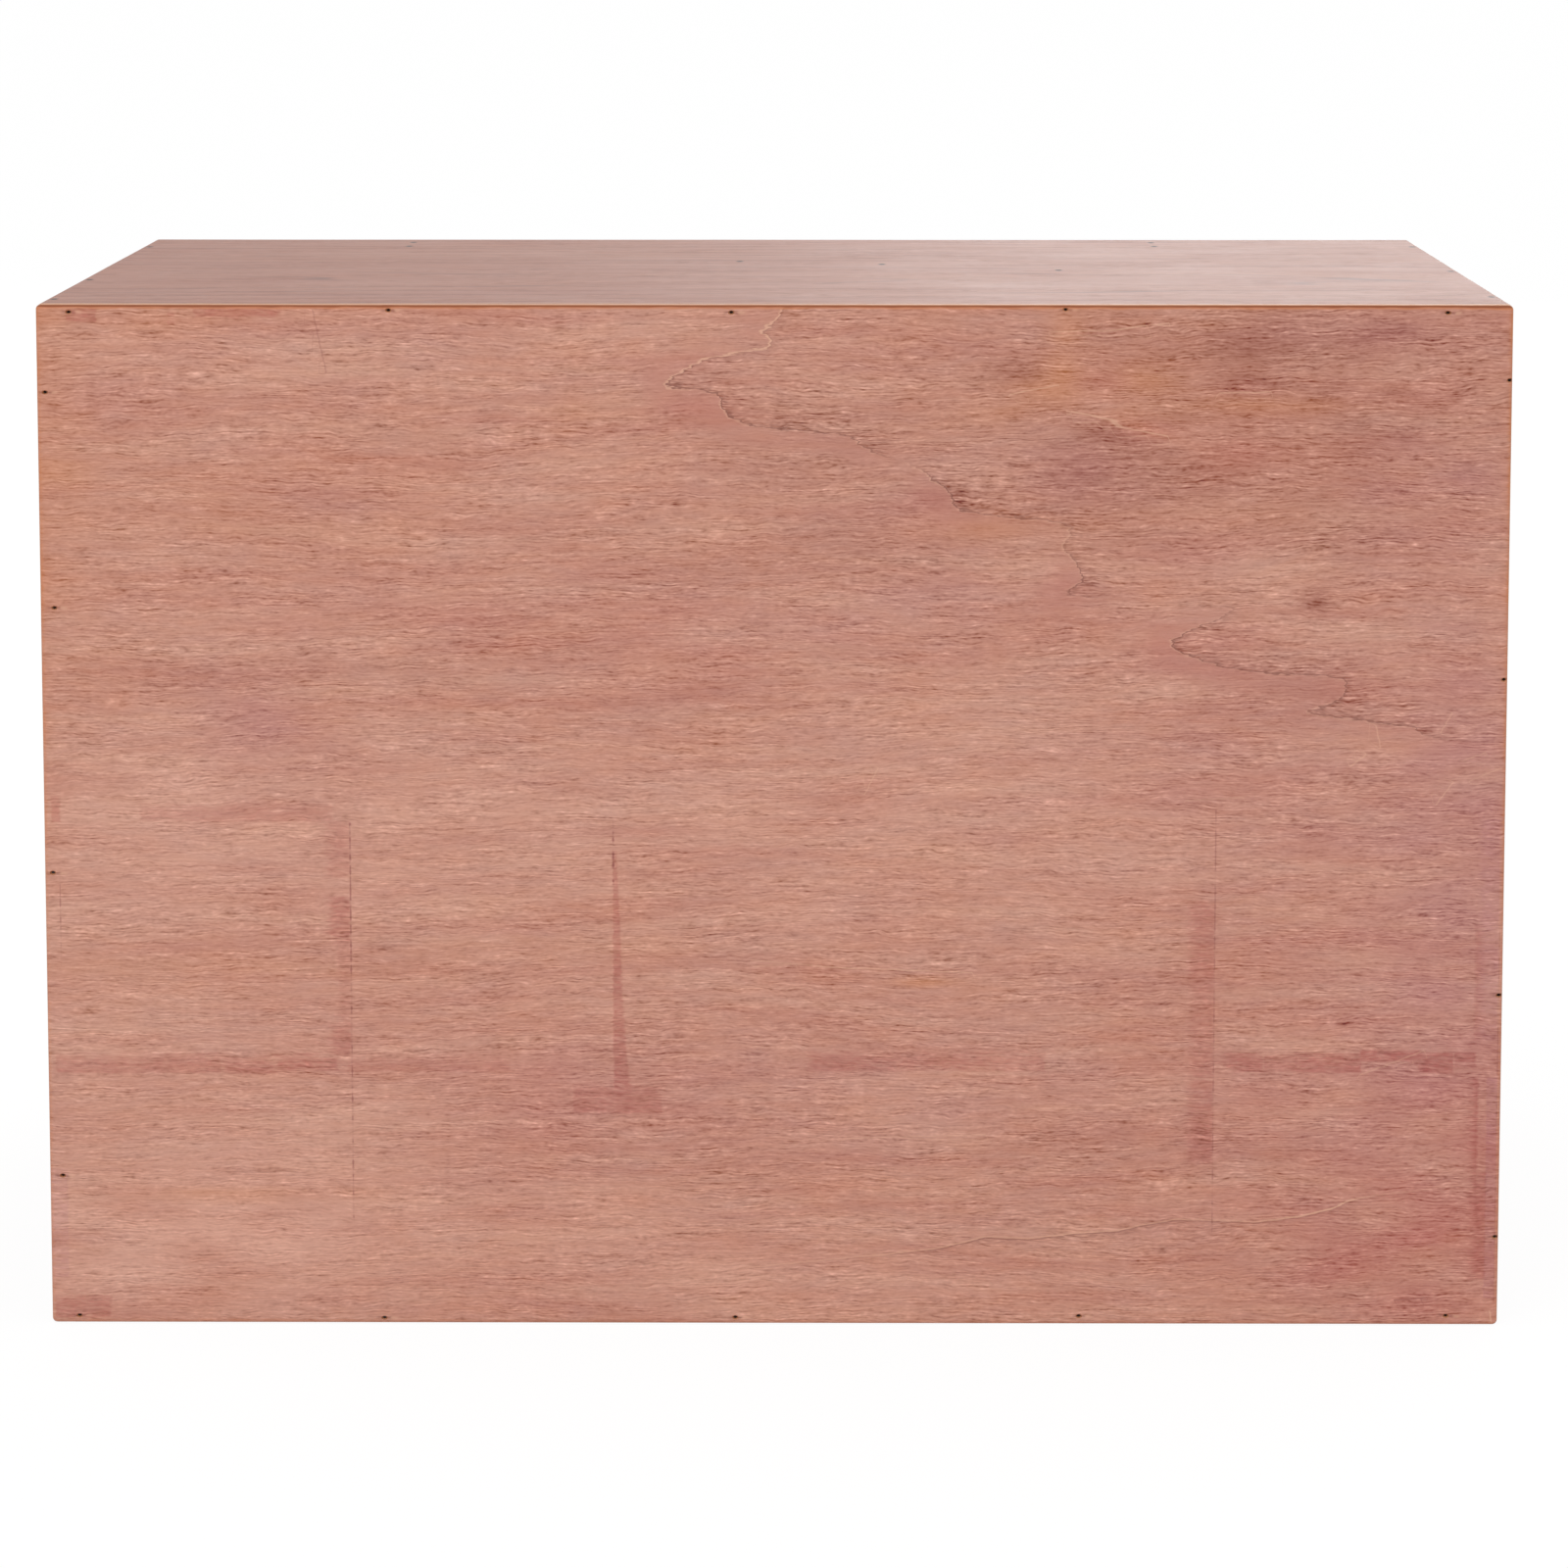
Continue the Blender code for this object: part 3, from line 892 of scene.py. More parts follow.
def unevenness(points: np.ndarray, out: Axis, height: float, length: float) -> np.ndarray:
    """Works out a board's gentle hills.

    They are a third of the sum of two crossing sine waves and the product of two more, all of
    unlike lengths, times the height.

    Args:
        points: The board's points.
        out: The axis along which the hills rise.
        height: The greatest height.
        length: The length over which a wave turns by about one radian.

    Returns:
        How far each point rises.
    """
    u, v = points[:, out.plane].T / length
    waves = np.sin(u + 0.7 * v + 0.4) + np.sin(1.7 * v - 0.4 * u) + np.sin(2.3 * u + 1.1) * np.sin(1.9 * v)
    return height * waves / 3


def turned(profile: np.ndarray, sides: int, axis: Axis, toward: int, middles: np.ndarray) -> Surface:
    """Turns a profile about an axis, once at each middle.

    A point is the middle, plus the radius times the cosine and sine of the turn along two square
    directions, plus the height along the axis.

    Args:
        profile: Radii and heights, from the axis at one end to the axis at the other, with the
            material on the left of the way.
        sides: The number of steps round.
        axis: The axis of the turn.
        toward: 1 if heights rise along the axis, -1 if they fall.
        middles: Where radius and height are zero, one row each.

    Returns:
        The closed surfaces of all copies.
    """
    along = np.roll((toward, 0, 0), axis.value)
    first = np.roll((0, 1, 0), axis.value)
    second = np.cross(along, first)
    turn = np.linspace(0, math.tau, sides, endpoint=False)
    ring = np.cos(turn)[:, None] * first + np.sin(turn)[:, None] * second
    inner = profile[1:-1]
    walls = inner[:, None, :1] * ring[None] + inner[:, None, 1:] * along
    ends = profile[[0, -1], 1:] * along
    points = np.concatenate([ends[:1], walls.reshape(-1, 3), ends[1:]])
    numbers = 1 + np.arange(len(inner) * sides).reshape(len(inner), sides)
    following = np.roll(numbers, -1, axis=1)
    quads = np.stack([numbers[:-1], following[:-1], following[1:], numbers[1:]], -1).reshape(-1, 4)
    last = np.full(sides, len(points) - 1)
    fans = np.concatenate([np.stack([np.zeros(sides, int), following[0], numbers[0]], -1),
                           np.stack([numbers[-1], following[-1], last], -1)])
    faces = []
    for copy in range(len(middles)):
        faces += (quads + copy * len(points)).tolist() + (fans + copy * len(points)).tolist()
    return Surface((middles[:, None, :] + points[None]).reshape(-1, 3), faces)


@dataclass(frozen=True)
class Cut:
    """The room that a board gives a neighbour: the neighbour's box, a seat's gap wider all round.

    Attributes:
        neighbour: The neighbour's node.
        through: An axis along which the cut runs right through the board.
    """

    neighbour: str
    through: Axis | None = None

    def room(self) -> tuple[np.ndarray, np.ndarray]:
        """Finds the space to cut away.

        Returns:
            Its lowest and highest corners.
        """
        low, high = (np.array(corner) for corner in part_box(self.neighbour))
        low, high = low - SEAT_GAP, high + SEAT_GAP
        if self.through is not None:
            low[self.through.value], high[self.through.value] = -1.0, 1.0
        return low, high


@dataclass
class Board:
    """A board with eased edges and the housings, rabbets and grooves of its joints.

    Attributes:
        node: The node that it stands for.
        cuts: Its neighbours' rooms.
        radius: The round of its edges.
        spacing: The spacing of its grid.
    """

    node: str
    cuts: tuple[Cut, ...] = ()
    radius: float = 0.6 * MM
    spacing: float = 20 * MM

    def corners(self) -> tuple[np.ndarray, np.ndarray]:
        """The board's lowest and highest corners."""
        low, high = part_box(self.node)
        return np.array(low), np.array(high)

    def radii(self) -> tuple[np.ndarray, np.ndarray]:
        """The rounds at the low and at the high end of each axis."""
        return np.full(3, self.radius), np.full(3, self.radius)

    def extra_lines(self, axis: int) -> np.ndarray:
        """Grid lines that the board's own detail needs."""
        return np.zeros(0)

    def shape(self, points: np.ndarray, flat: np.ndarray) -> dict[str, np.ndarray]:
        """Bends the board's points in place.

        Args:
            points: The points, with the edges rounded.
            flat: The same points before the edges were rounded.

        Returns:
            The numbers that the points carry.
        """
        return {}

    def surface(self) -> Surface:
        """Shapes the board's skin: a block's cells less its cuts, with round edges.

        Returns:
            The skin with its marks.
        """
        low, high = self.corners()
        low_radii, high_radii = self.radii()
        rooms = [cut.room() for cut in self.cuts]
        lines = []
        for axis in range(3):
            extra = [rounding_lines(low[axis], high[axis], low_radii[axis], high_radii[axis])]
            extra += [np.array([room[0][axis], room[1][axis]]) for room in rooms]
            extra.append(self.extra_lines(axis))
            lines.append(even_lines(low[axis], high[axis], self.spacing, np.concatenate(extra)))
        shell = Shell(tuple(lines))
        for room in rooms:
            shell.cut(*room)
        points, faces = shell.skin()
        flat = points.copy()
        points = round_edges(points, low, high, low_radii, high_radii)
        marks = self.shape(points, flat)
        return Surface(points, faces.tolist(), marks)

    def build(self, body: str, slot: str, material: bpy.types.Material) -> None:
        """Makes the board on its body.

        Args:
            body: The body.
            slot: The record's material slot.
            material: The finish.
        """
        self.surface().to_object(f"{self.node}_board", body, slot, material, (self.node,))


class Side(Enum):
    """A side of a trace, as the photograph shows it."""

    LEFT = 0
    TOP = 1
    RIGHT = 2
    BOTTOM = 3


class Tone(Enum):
    """A tone of the back's stain, with its tint."""

    BROWN = (160, 98, 80)
    MAUVE = (174, 113, 113)
    PALE = (220, 169, 149)
    WARM = (200, 130, 88)
    ROSE = (180, 106, 94)
    RED = (168, 86, 74)
    DARK = (146, 82, 72)


class Mark:
    """A mark on the back panel, in the photograph's pixels."""

    @classmethod
    def rows(cls, *rows: Sequence[Any]) -> tuple["Mark", ...]:
        """Makes one mark from each row of its fields."""
        return tuple(cls(*row) for row in rows)


@dataclass(frozen=True)
class Trace(Mark):
    """A four-sided mark that a glued board left in the stain.

    Attributes:
        strength: How dark it is, 0 to 1.
        ragged: The side where the stain fades out along the fibres. The others are crisp.
        spread: How much further right its right side lies at the bottom than at the top.
    """

    left: float
    top: float
    right: float
    bottom: float
    strength: float = 1.0
    ragged: Side | None = None
    spread: float = 0.0


@dataclass(frozen=True)
class Scratch(Mark):
    """A thin straight mark between two pixels, light or, with a strength below 0, dark."""

    start: tuple[float, float]
    end: tuple[float, float]
    strength: float = 1.0


@dataclass(frozen=True)
class Patch(Mark):
    """A soft cloud of another tone: its middle and half sizes.

    Attributes:
        slant: How far it falls for each step to the right.
    """

    across: float
    down: float
    half_width: float
    half_height: float
    strength: float = 1.0
    slant: float = 0.0


@dataclass(frozen=True)
class GrowthLine:
    """A dark late-wood line with a light edge on its calm side, in the photograph's pixels.

    Attributes:
        name: The start of its marks' names.
        torn: How much the torn fibres shift it.
        points: Across and down, how dark the line is there and how light its edge is.
        closing: Corners that close the line round its busy side.
    """

    name: str
    torn: float
    points: tuple[tuple[float, float, float, float], ...]
    closing: tuple[tuple[float, float], ...]


@dataclass(frozen=True)
class Cloud:
    """The patches of one tone.

    Attributes:
        cover: How much of the tone a patch of strength 1 takes.
    """

    tone: Tone
    cover: float
    patches: tuple[Patch, ...]

    @property
    def mark(self) -> str:
        """The name of the mesh's mark."""
        return f"{self.tone.name.lower()}_patch"


@dataclass(frozen=True)
class Glue:
    """The traces of one tone.

    Attributes:
        soft: How soft their edges are, in millimetres.
        dotted: Whether they are broken into dots, and not mottled.
    """

    tone: Tone
    soft: float
    dotted: bool
    traces: tuple[Trace, ...]

    @property
    def mark(self) -> str:
        """The name of the mesh's mark."""
        return f"{self.tone.name.lower()}_trace"


GROWTH_LINES = (
    GrowthLine("figure", 1.0, (
        (812, 300, 0.2, 0.6), (798, 314, 0.5, 0.8), (796, 321, 0.5, 0.9), (790, 327, 0.4, 1.0),
        (775, 335, 0.8, 0.9), (786, 340, 0.3, 1.0), (790, 347, 0.4, 1.0), (783, 353, 0.3, 1.0),
        (745, 360, 0.4, 0.9), (720, 364, 0.5, 0.9), (708, 370, 0.6, 0.9), (690, 381, 0.7, 0.8),
        (679, 390, 1.0, 0.6), (710, 393, 0.8, 0.1), (733, 397, 0.9, 0.0), (738, 404, 1.0, 0.2),
        (736, 409, 1.0, 0.5), (743, 419, 1.0, 0.4), (763, 429, 0.9, 0.2), (804, 434, 0.8, 0.1),
        (835, 437, 0.8, 0.0), (865, 440, 0.8, 0.0), (880, 451, 0.8, 0.2), (892, 458, 0.6, 0.1),
        (920, 466, 0.1, 0.0), (942, 475, 0.5, 0.4), (950, 486, 0.8, 0.5), (960, 490, 0.9, 0.1),
        (969, 500, 1.0, 0.1), (972, 514, 1.0, 0.1), (1006, 520, 0.8, 0.1), (1067, 526, 0.7, 0.1),
        (1096, 534, 0.3, 0.3), (1080, 552, 0.3, 0.4), (1094, 566, 0.7, 0.2), (1099, 576, 0.8, 0.0),
        (1104, 588, 1.0, 0.2), (1078, 601, 0.7, 0.1), (1150, 607, 0.0, 0.0), (1258, 615, 0.4, 0.0),
        (1242, 626, 0.6, 0.1), (1213, 637, 0.8, 0.2), (1191, 650, 1.0, 0.3), (1195, 658, 1.0, 0.3),
        (1222, 667, 0.9, 0.2), (1245, 675, 0.9, 0.1), (1284, 681, 0.9, 0.1), (1343, 684, 0.8, 0.1),
        (1369, 688, 0.8, 0.2), (1370, 698, 0.9, 0.1), (1365, 707, 0.8, 0.1), (1352, 714, 0.8, 0.1),
        (1328, 722, 0.7, 0.2), (1375, 728, 0.9, 0.2), (1443, 737, 0.7, 0.1), (1448, 746, 0.5, 0.0),
        (1545, 756, 0.0, 0.0),
    ), ((1600, 756), (1600, 200), (812, 200))),
    GrowthLine("low_figure", 0.3, (
        (700, 1306, 0.0, 0.0), (831, 1293, 0.2, 0.4), (900, 1286, 0.2, 0.4), (959, 1279, 0.6, 0.6),
        (1006, 1267, 0.8, 0.5), (1050, 1269, 0.7, 0.5), (1102, 1263, 0.7, 0.5), (1144, 1260, 0.7, 0.4),
        (1164, 1255, 0.7, 0.5), (1203, 1248, 0.6, 0.4), (1284, 1251, 0.4, 0.4), (1330, 1245, 0.4, 0.9),
        (1362, 1237, 0.4, 1.0), (1378, 1229, 0.3, 0.9), (1400, 1224, 0.2, 0.3), (1499, 1211, 0.1, 0.1),
        (1545, 1206, 0.0, 0.0),
    ), ((1600, 1206), (1600, 1450), (700, 1450))),
)
SCRATCHES = Scratch.rows(
    ((1401, 738), (1404, 753), 0.6), ((1385, 769), (1377, 775), 0.6), ((1478, 795), (1466, 811), 0.6),
    ((893, 784), (883, 804), 0.6), ((1466, 741), (1474, 728), 0.5), ((1492, 770), (1508, 764), 0.4),
    ((1500, 790), (1521, 781), 0.4), ((1391, 1095), (1450, 1072), 0.5), ((1405, 1090), (1432, 1079), 0.4),
    ((327, 319), (338, 372), -0.5), ((1526, 1350), (1527, 1358), 1.0), ((773, 978), (850, 985), 0.5),
    ((850, 985), (990, 990), 0.7), ((864, 1163), (1000, 1159), 0.4), ((1432, 1331), (1455, 1329), -1.0),
    ((1215, 812), (1262, 809), 0.4), ((206, 655), (238, 648), 0.3), ((1072, 335), (1110, 334), 0.7),
    ((1120, 335), (1182, 327), 0.8), ((1034, 397), (1070, 390), 0.8), ((1092, 416), (1130, 424), 0.9),
    ((1128, 429), (1182, 440), 0.8), ((1240, 397), (1284, 396), 0.6),
)
GLUES = (
    Glue(Tone.MAUVE, 0.3, False, Trace.rows(
        (44, 1196, 65.5, 1310, 0.3), (1518, 1098, 1529, 1330, 0.5),
        (1508, 830, 1528, 1060, 0.35, Side.LEFT),
    )),
    Glue(Tone.RED, 0.45, False, Trace.rows(
        (334, 834, 358, 893, 0.35, Side.LEFT), (336, 912, 358, 962, 0.6, Side.LEFT),
        (336, 1046, 358, 1077, 0.5, Side.LEFT), (345, 962, 358, 1046, 0.3, Side.LEFT),
        (1212, 916, 1239, 1000, 0.5, Side.LEFT), (1214, 1000, 1239, 1100, 0.4, Side.LEFT),
        (1212, 1100, 1239, 1190, 0.5, Side.LEFT), (55, 1077, 225, 1096, 0.45, Side.TOP),
        (225, 1080, 280, 1096, 0.55, Side.TOP), (280, 1077, 345, 1093, 0.65, Side.TOP),
        (352, 1078, 520, 1094, 0.35, Side.TOP), (1248, 1073, 1290, 1093, 0.65, Side.LEFT),
        (1290, 1075, 1325, 1093, 0.45), (1322, 1073, 1390, 1094, 0.65, Side.LEFT),
        (1388, 1070, 1450, 1082, 0.85), (1448, 1072, 1484, 1094, 0.85),
        (1484, 1072, 1507, 1088, 0.8, Side.BOTTOM), (145, 818, 340, 835, 0.3, Side.TOP),
        (54, 809, 64, 836, 0.5), (77, 311, 108, 326, 0.6), (180, 309, 186, 328, 0.8),
        (205, 309, 294, 321, 0.6), (246, 311, 251, 323, 0.9), (50, 1327, 108, 1352, 0.55, Side.TOP),
        (584, 1108, 675, 1137, 0.5, Side.TOP), (824, 1073, 1067, 1093, 0.5, Side.TOP),
        (625.5, 864, 629.5, 1138, 0.65, None, 13.0), (1503, 1098, 1510, 1235, 0.9, Side.LEFT),
        (1503, 1197, 1519, 1310, 0.7, Side.LEFT), (1504, 940, 1512, 1060, 0.5, Side.RIGHT),
    )),
    Glue(Tone.DARK, 0.14, True, Trace.rows(
        (357.4, 836, 359.2, 1250, 0.75), (1238.2, 821, 1239.8, 1262, 0.5), (625.2, 833, 627.2, 900, 0.9),
        (61.5, 890, 62.7, 990, 0.6), (1528.2, 940, 1529.6, 1346, 0.45),
    )),
)
CLOUDS = (
    Cloud(Tone.BROWN, 0.55, Patch.rows(
        (1310, 400, 260, 130, 0.95), (1230, 400, 320, 130, 0.3), (1220, 352, 90, 26, 0.55),
        (1032, 374, 34, 20, 1.1), (1165, 452, 90, 9, 1.3, 0.4), (1100, 480, 80, 30, 0.6),
        (1210, 480, 90, 24, 0.5), (1264, 386, 30, 8, 1.9), (1150, 340, 50, 12, 0.5),
        (1105, 432, 44, 12, 0.8, 0.3), (992, 505, 46, 12, 1.0), (1100, 545, 90, 18, 0.6),
        (1338, 606, 16, 16, 1.8), (1400, 540, 90, 22, 0.5), (1310, 700, 80, 30, 0.6),
        (830, 475, 70, 22, 0.9), (860, 550, 110, 50, 0.5), (770, 430, 60, 40, 0.35),
        (915, 430, 50, 22, 0.6), (650, 545, 80, 22, 0.45), (340, 680, 220, 22, 0.4),
        (1400, 330, 60, 16, 0.6), (1120, 1170, 160, 24, 0.4), (420, 440, 60, 14, 0.3),
        (700, 580, 60, 20, 0.3), (720, 1200, 120, 20, 0.3), (330, 850, 40, 40, 0.25),
        (1040, 990, 200, 10, 0.4),
    )),
    Cloud(Tone.MAUVE, 0.5, Patch.rows(
        (265, 735, 62, 45, 0.9), (910, 625, 95, 26, 0.7), (1000, 600, 80, 20, 0.5),
        (1090, 475, 80, 36, 0.5), (930, 520, 70, 22, 0.4), (1250, 795, 140, 40, 0.6),
        (1490, 900, 90, 200, 0.9), (1500, 760, 60, 90, 0.6), (1270, 700, 90, 60, 0.4),
        (1460, 510, 70, 60, 1.0), (1450, 1100, 120, 110, 0.7), (1330, 830, 120, 60, 0.35),
        (880, 1110, 420, 70, 0.3), (640, 1120, 200, 60, 0.25), (1400, 330, 120, 20, 0.5),
    )),
    Cloud(Tone.PALE, 0.4, Patch.rows(
        (368, 907, 40, 18, 0.9), (240, 1150, 280, 190, 0.45), (130, 860, 150, 90, 0.8),
        (160, 800, 50, 26, 0.5), (360, 880, 160, 60, 0.5), (420, 790, 160, 40, 0.45),
        (700, 840, 320, 70, 0.45), (1040, 800, 130, 60, 0.5), (160, 1270, 200, 70, 1.3),
        (660, 1280, 200, 50, 0.5), (330, 1240, 120, 60, 0.6), (560, 1230, 90, 26, 0.5),
        (920, 1310, 320, 26, 0.5), (1120, 900, 90, 40, 0.5), (860, 930, 120, 24, 0.6),
        (90, 1080, 60, 60, 0.4), (540, 700, 70, 30, 0.3),
    )),
    Cloud(Tone.WARM, 0.55, Patch.rows(
        (1082, 352, 20, 40, 0.95), (1050, 400, 44, 14, 0.65), (1120, 408, 60, 10, 0.75, 0.2),
        (1165, 434, 60, 6, 0.9, 0.35), (1150, 385, 80, 26, 0.9), (1300, 409, 90, 10, 0.8),
        (1265, 450, 80, 36, 0.5), (1180, 326, 60, 6, 0.5), (1010, 415, 60, 14, 0.5),
        (942, 1000, 38, 6, 1.0), (1484, 1267, 16, 7, 1.0), (240, 1222, 150, 8, 0.8),
        (1010, 535, 80, 14, 0.8), (170, 322, 110, 14, 0.7), (70, 440, 30, 200, 0.5),
        (180, 500, 200, 60, 0.25), (600, 410, 70, 50, 0.3), (200, 985, 240, 12, 0.5),
        (560, 965, 200, 10, 0.4), (1290, 800, 130, 16, 0.3), (1470, 520, 60, 20, 0.4),
        (1250, 520, 130, 14, 0.4), (330, 530, 120, 16, 0.25), (320, 520, 260, 120, 0.15),
    )),
    Cloud(Tone.ROSE, 0.55, Patch.rows(
        (1500, 1240, 120, 150, 1.1), (1370, 1290, 120, 60, 0.9), (1300, 1130, 150, 60, 0.4),
        (1200, 655, 90, 30, 0.7), (690, 372, 60, 12, 0.8), (715, 412, 40, 14, 0.9),
        (950, 510, 24, 22, 0.7), (1085, 590, 26, 18, 0.6), (430, 620, 260, 50, 0.45),
        (700, 650, 120, 50, 0.45), (1240, 1235, 130, 14, 0.5), (1130, 985, 130, 12, 0.5),
        (330, 480, 160, 30, 0.25), (120, 400, 90, 30, 0.3), (560, 1115, 80, 60, 0.5),
        (1430, 400, 90, 60, 0.4), (1420, 690, 120, 40, 0.4), (1360, 940, 90, 60, 0.5),
        (1262, 390, 40, 9, 0.5), (1270, 455, 70, 34, 0.9), (1120, 386, 26, 20, 0.9),
        (1175, 440, 50, 16, 0.8, 0.3), (1220, 560, 90, 30, 0.5),
    )),
)


@dataclass(frozen=True)
class BackPanel:
    """The stained plywood back, with its growth lines, the traces in its stain and its nails' holes.

    Its outer face is a fine grid. The numbers that its points carry say how far, in millimetres,
    each lies from a growth line, a trace or a nail, so that the finish draws those edges crisply.

    Attributes:
        photo_corner: The photograph's pixel at the panel's upper left corner, seen square on.
        trace_reach: The distance, in millimetres, beyond which a trace doesn't matter.
        raggedness: How many times wider than a crisp edge a ragged one is.
        far: The distance, in millimetres, of the inner face's points from everything.
    """

    name: str = "back_panel"
    spacing: float = 2.1 * MM
    outer_radius: float = 1.2 * MM
    corner_radius: float = 1.5 * MM
    inner_radius: float = 0.25 * MM
    hill_height: float = 0.06 * MM
    hill_length: float = 0.03
    photo_corner: tuple[float, float] = (46.8, 308.3)
    pixels_per_metre: float = 3440.0
    trace_reach: float = 6.0
    scratch_reach: float = 2.4 * MM
    top_rim_width: float = 1.3 * MM
    left_rim_width: float = 3.2 * MM
    right_rim_width: float = 1.2 * MM
    raggedness: float = 5.0
    far: float = 50.0
    nail_pixels: tuple[tuple[float, float], ...] = (
        (80, 316), (402, 314), (747, 316), (1083, 313), (1467, 316),
        (55, 397), (61, 616), (55, 888), (60, 1203),
        (1530, 384), (1529, 688), (1529, 1013), (1529, 1265),
        (75, 1350), (389, 1352), (750, 1351), (1103, 1349), (1480, 1348),
    )

    def box(self) -> Box:
        """The panel's corners."""
        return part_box(self.name)

    def spots(self, pixels: Sequence[Sequence[float]]) -> np.ndarray:
        """Turns pixels of the photograph into X and Z on the panel.

        Args:
            pixels: Across and down, one row each.

        Returns:
            The points, one row each.
        """
        corner = self.box()[1]
        inward = (np.asarray(pixels, float) - self.photo_corner) / self.pixels_per_metre
        return np.array((corner.x, corner.z)) - inward

    def nails(self) -> np.ndarray:
        """The middles of the nails, as X and Z."""
        return self.spots(self.nail_pixels)

    def shell(self) -> Shell:
        """Divides the panel, with lines where the rounds, the holes and the traces need them.

        Returns:
            The panel's cells.
        """
        low, high = self.box()
        nails = self.nails()
        edges = self.spots([spot for glue in GLUES for trace in glue.traces
                            for spot in ((trace.left, trace.top), (trace.right, trace.bottom))])
        lines = []
        for axis, column in ((0, 0), (2, 1)):
            ends = rounding_lines(low[axis], high[axis], self.corner_radius, self.corner_radius)
            extra = np.concatenate([ends, HOLE.lines(nails[:, column]), edges[:, column]])
            lines.append(even_lines(low[axis], high[axis], self.spacing, extra))
        depth = rounding_lines(low.y, high.y, self.inner_radius, self.outer_radius)
        return Shell((lines[0], even_lines(low.y, high.y, 2 * self.spacing, depth), lines[1]))

    def plain_inside(self, points: np.ndarray, faces: np.ndarray) -> list[list[int]]:
        """Swaps the fine grid of the inner face for one flat face with the same border.

        The border is the inner face's points that also belong to other faces, taken in the order
        of their angle round the middle, which is right for a shape that bulges everywhere.

        Args:
            points: The panel's points.
            faces: Its faces, one row each.

        Returns:
            The faces with the one flat face.
        """
        flat = (points[faces][:, :, 1] < self.box()[0].y + ON_PLANE).all(1)
        inner = np.intersect1d(faces[flat], faces[~flat])
        x, z = points[inner][:, 0], points[inner][:, 2]
        turn = np.argsort(np.arctan2(z - z.mean(), x - x.mean()))
        return faces[~flat].tolist() + [inner[turn].tolist()]

    def growth_marks(self, plane: np.ndarray, line: GrowthLine) -> tuple[np.ndarray, np.ndarray, np.ndarray]:
        """How far each point lies from a growth line, and how dark and light the line is there.

        The distance is that to the nearest leg of the line. It counts as negative inside the
        outline that the line makes with its closing corners, which a count of crossings finds.

        Args:
            plane: Points as X and Z.
            line: The line.

        Returns:
            The distances in millimetres, the darkness and the lightness.
        """
        table = np.array(line.points)
        ends, tone_at = self.spots(table[:, :2]), table[:, 2:]
        best = np.full(len(plane), np.inf)
        tones = np.zeros((len(plane), 2))
        for a, leg, tone, change in zip(ends, np.diff(ends, axis=0), tone_at, np.diff(tone_at, axis=0)):
            share = np.clip(((plane - a) @ leg) / (leg @ leg), 0, 1)[:, None]
            gap = np.linalg.norm(plane - a - share * leg, axis=1)
            closer = gap < best
            best = np.where(closer, gap, best)
            tones = np.where(closer[:, None], tone + share * change, tones)
        ring = np.concatenate([ends, self.spots(line.closing)])
        inside = np.zeros(len(plane), bool)
        for a, b in zip(ring, np.roll(ring, -1, axis=0)):
            spans = (a[1] > plane[:, 1]) != (b[1] > plane[:, 1])
            rise = b[1] - a[1] if b[1] != a[1] else 1.0
            inside ^= spans & (plane[:, 0] < a[0] + (plane[:, 1] - a[1]) / rise * (b[0] - a[0]))
        return np.where(inside, -best, best) / MM, tones[:, 0], tones[:, 1]

    def scratch_marks(self, plane: np.ndarray) -> tuple[np.ndarray, np.ndarray]:
        """How far each point lies to the side of the nearest scratch, and that scratch's strength.

        The distance has a sign, so that it runs evenly through zero on the scratch itself.

        Args:
            plane: Points as X and Z.

        Returns:
            The distances in millimetres and the strengths.
        """
        near = np.full(len(plane), self.scratch_reach)
        aside = near / MM
        strength = np.zeros(len(plane))
        for scratch in SCRATCHES:
            start, end = self.spots((scratch.start, scratch.end))
            leg = end - start
            offset = plane - start
            share = np.clip(offset @ leg / (leg @ leg), 0, 1)[:, None]
            gap = np.linalg.norm(offset - share * leg, axis=1)
            closer = gap < near
            across = (offset[:, 0] * leg[1] - offset[:, 1] * leg[0]) / np.linalg.norm(leg)
            near = np.where(closer, gap, near)
            aside = np.where(closer, across / MM, aside)
            strength = np.where(closer, scratch.strength, strength)
        return aside, strength

    def trace_marks(self, plane: np.ndarray, traces: tuple[Trace, ...]) -> tuple[np.ndarray, np.ndarray]:
        """How far each point lies outside the nearest trace, negative inside, and its strength.

        Distances across a ragged side are divided by its raggedness, which widens its edge.

        Args:
            plane: Points as X and Z.
            traces: The traces.

        Returns:
            The distances in millimetres and the strengths.
        """
        best = np.full(len(plane), self.trace_reach)
        strength = np.zeros(len(plane))
        x, z = plane.T
        for trace in traces:
            (left, top), (right, bottom) = self.spots(((trace.left, trace.top), (trace.right, trace.bottom)))
            spread = trace.spread / self.pixels_per_metre * np.clip((top - z) / (top - bottom), 0, 1)
            over = np.stack([x - left, z - top, right - spread - x, bottom - z]) / MM
            if trace.ragged is not None:
                over[trace.ragged.value] /= self.raggedness
            gap = np.linalg.norm(np.maximum(over, 0), axis=0) + np.minimum(over.max(0), 0)
            strength = np.where(gap < best, trace.strength, strength)
            best = np.minimum(best, gap)
        return best, strength

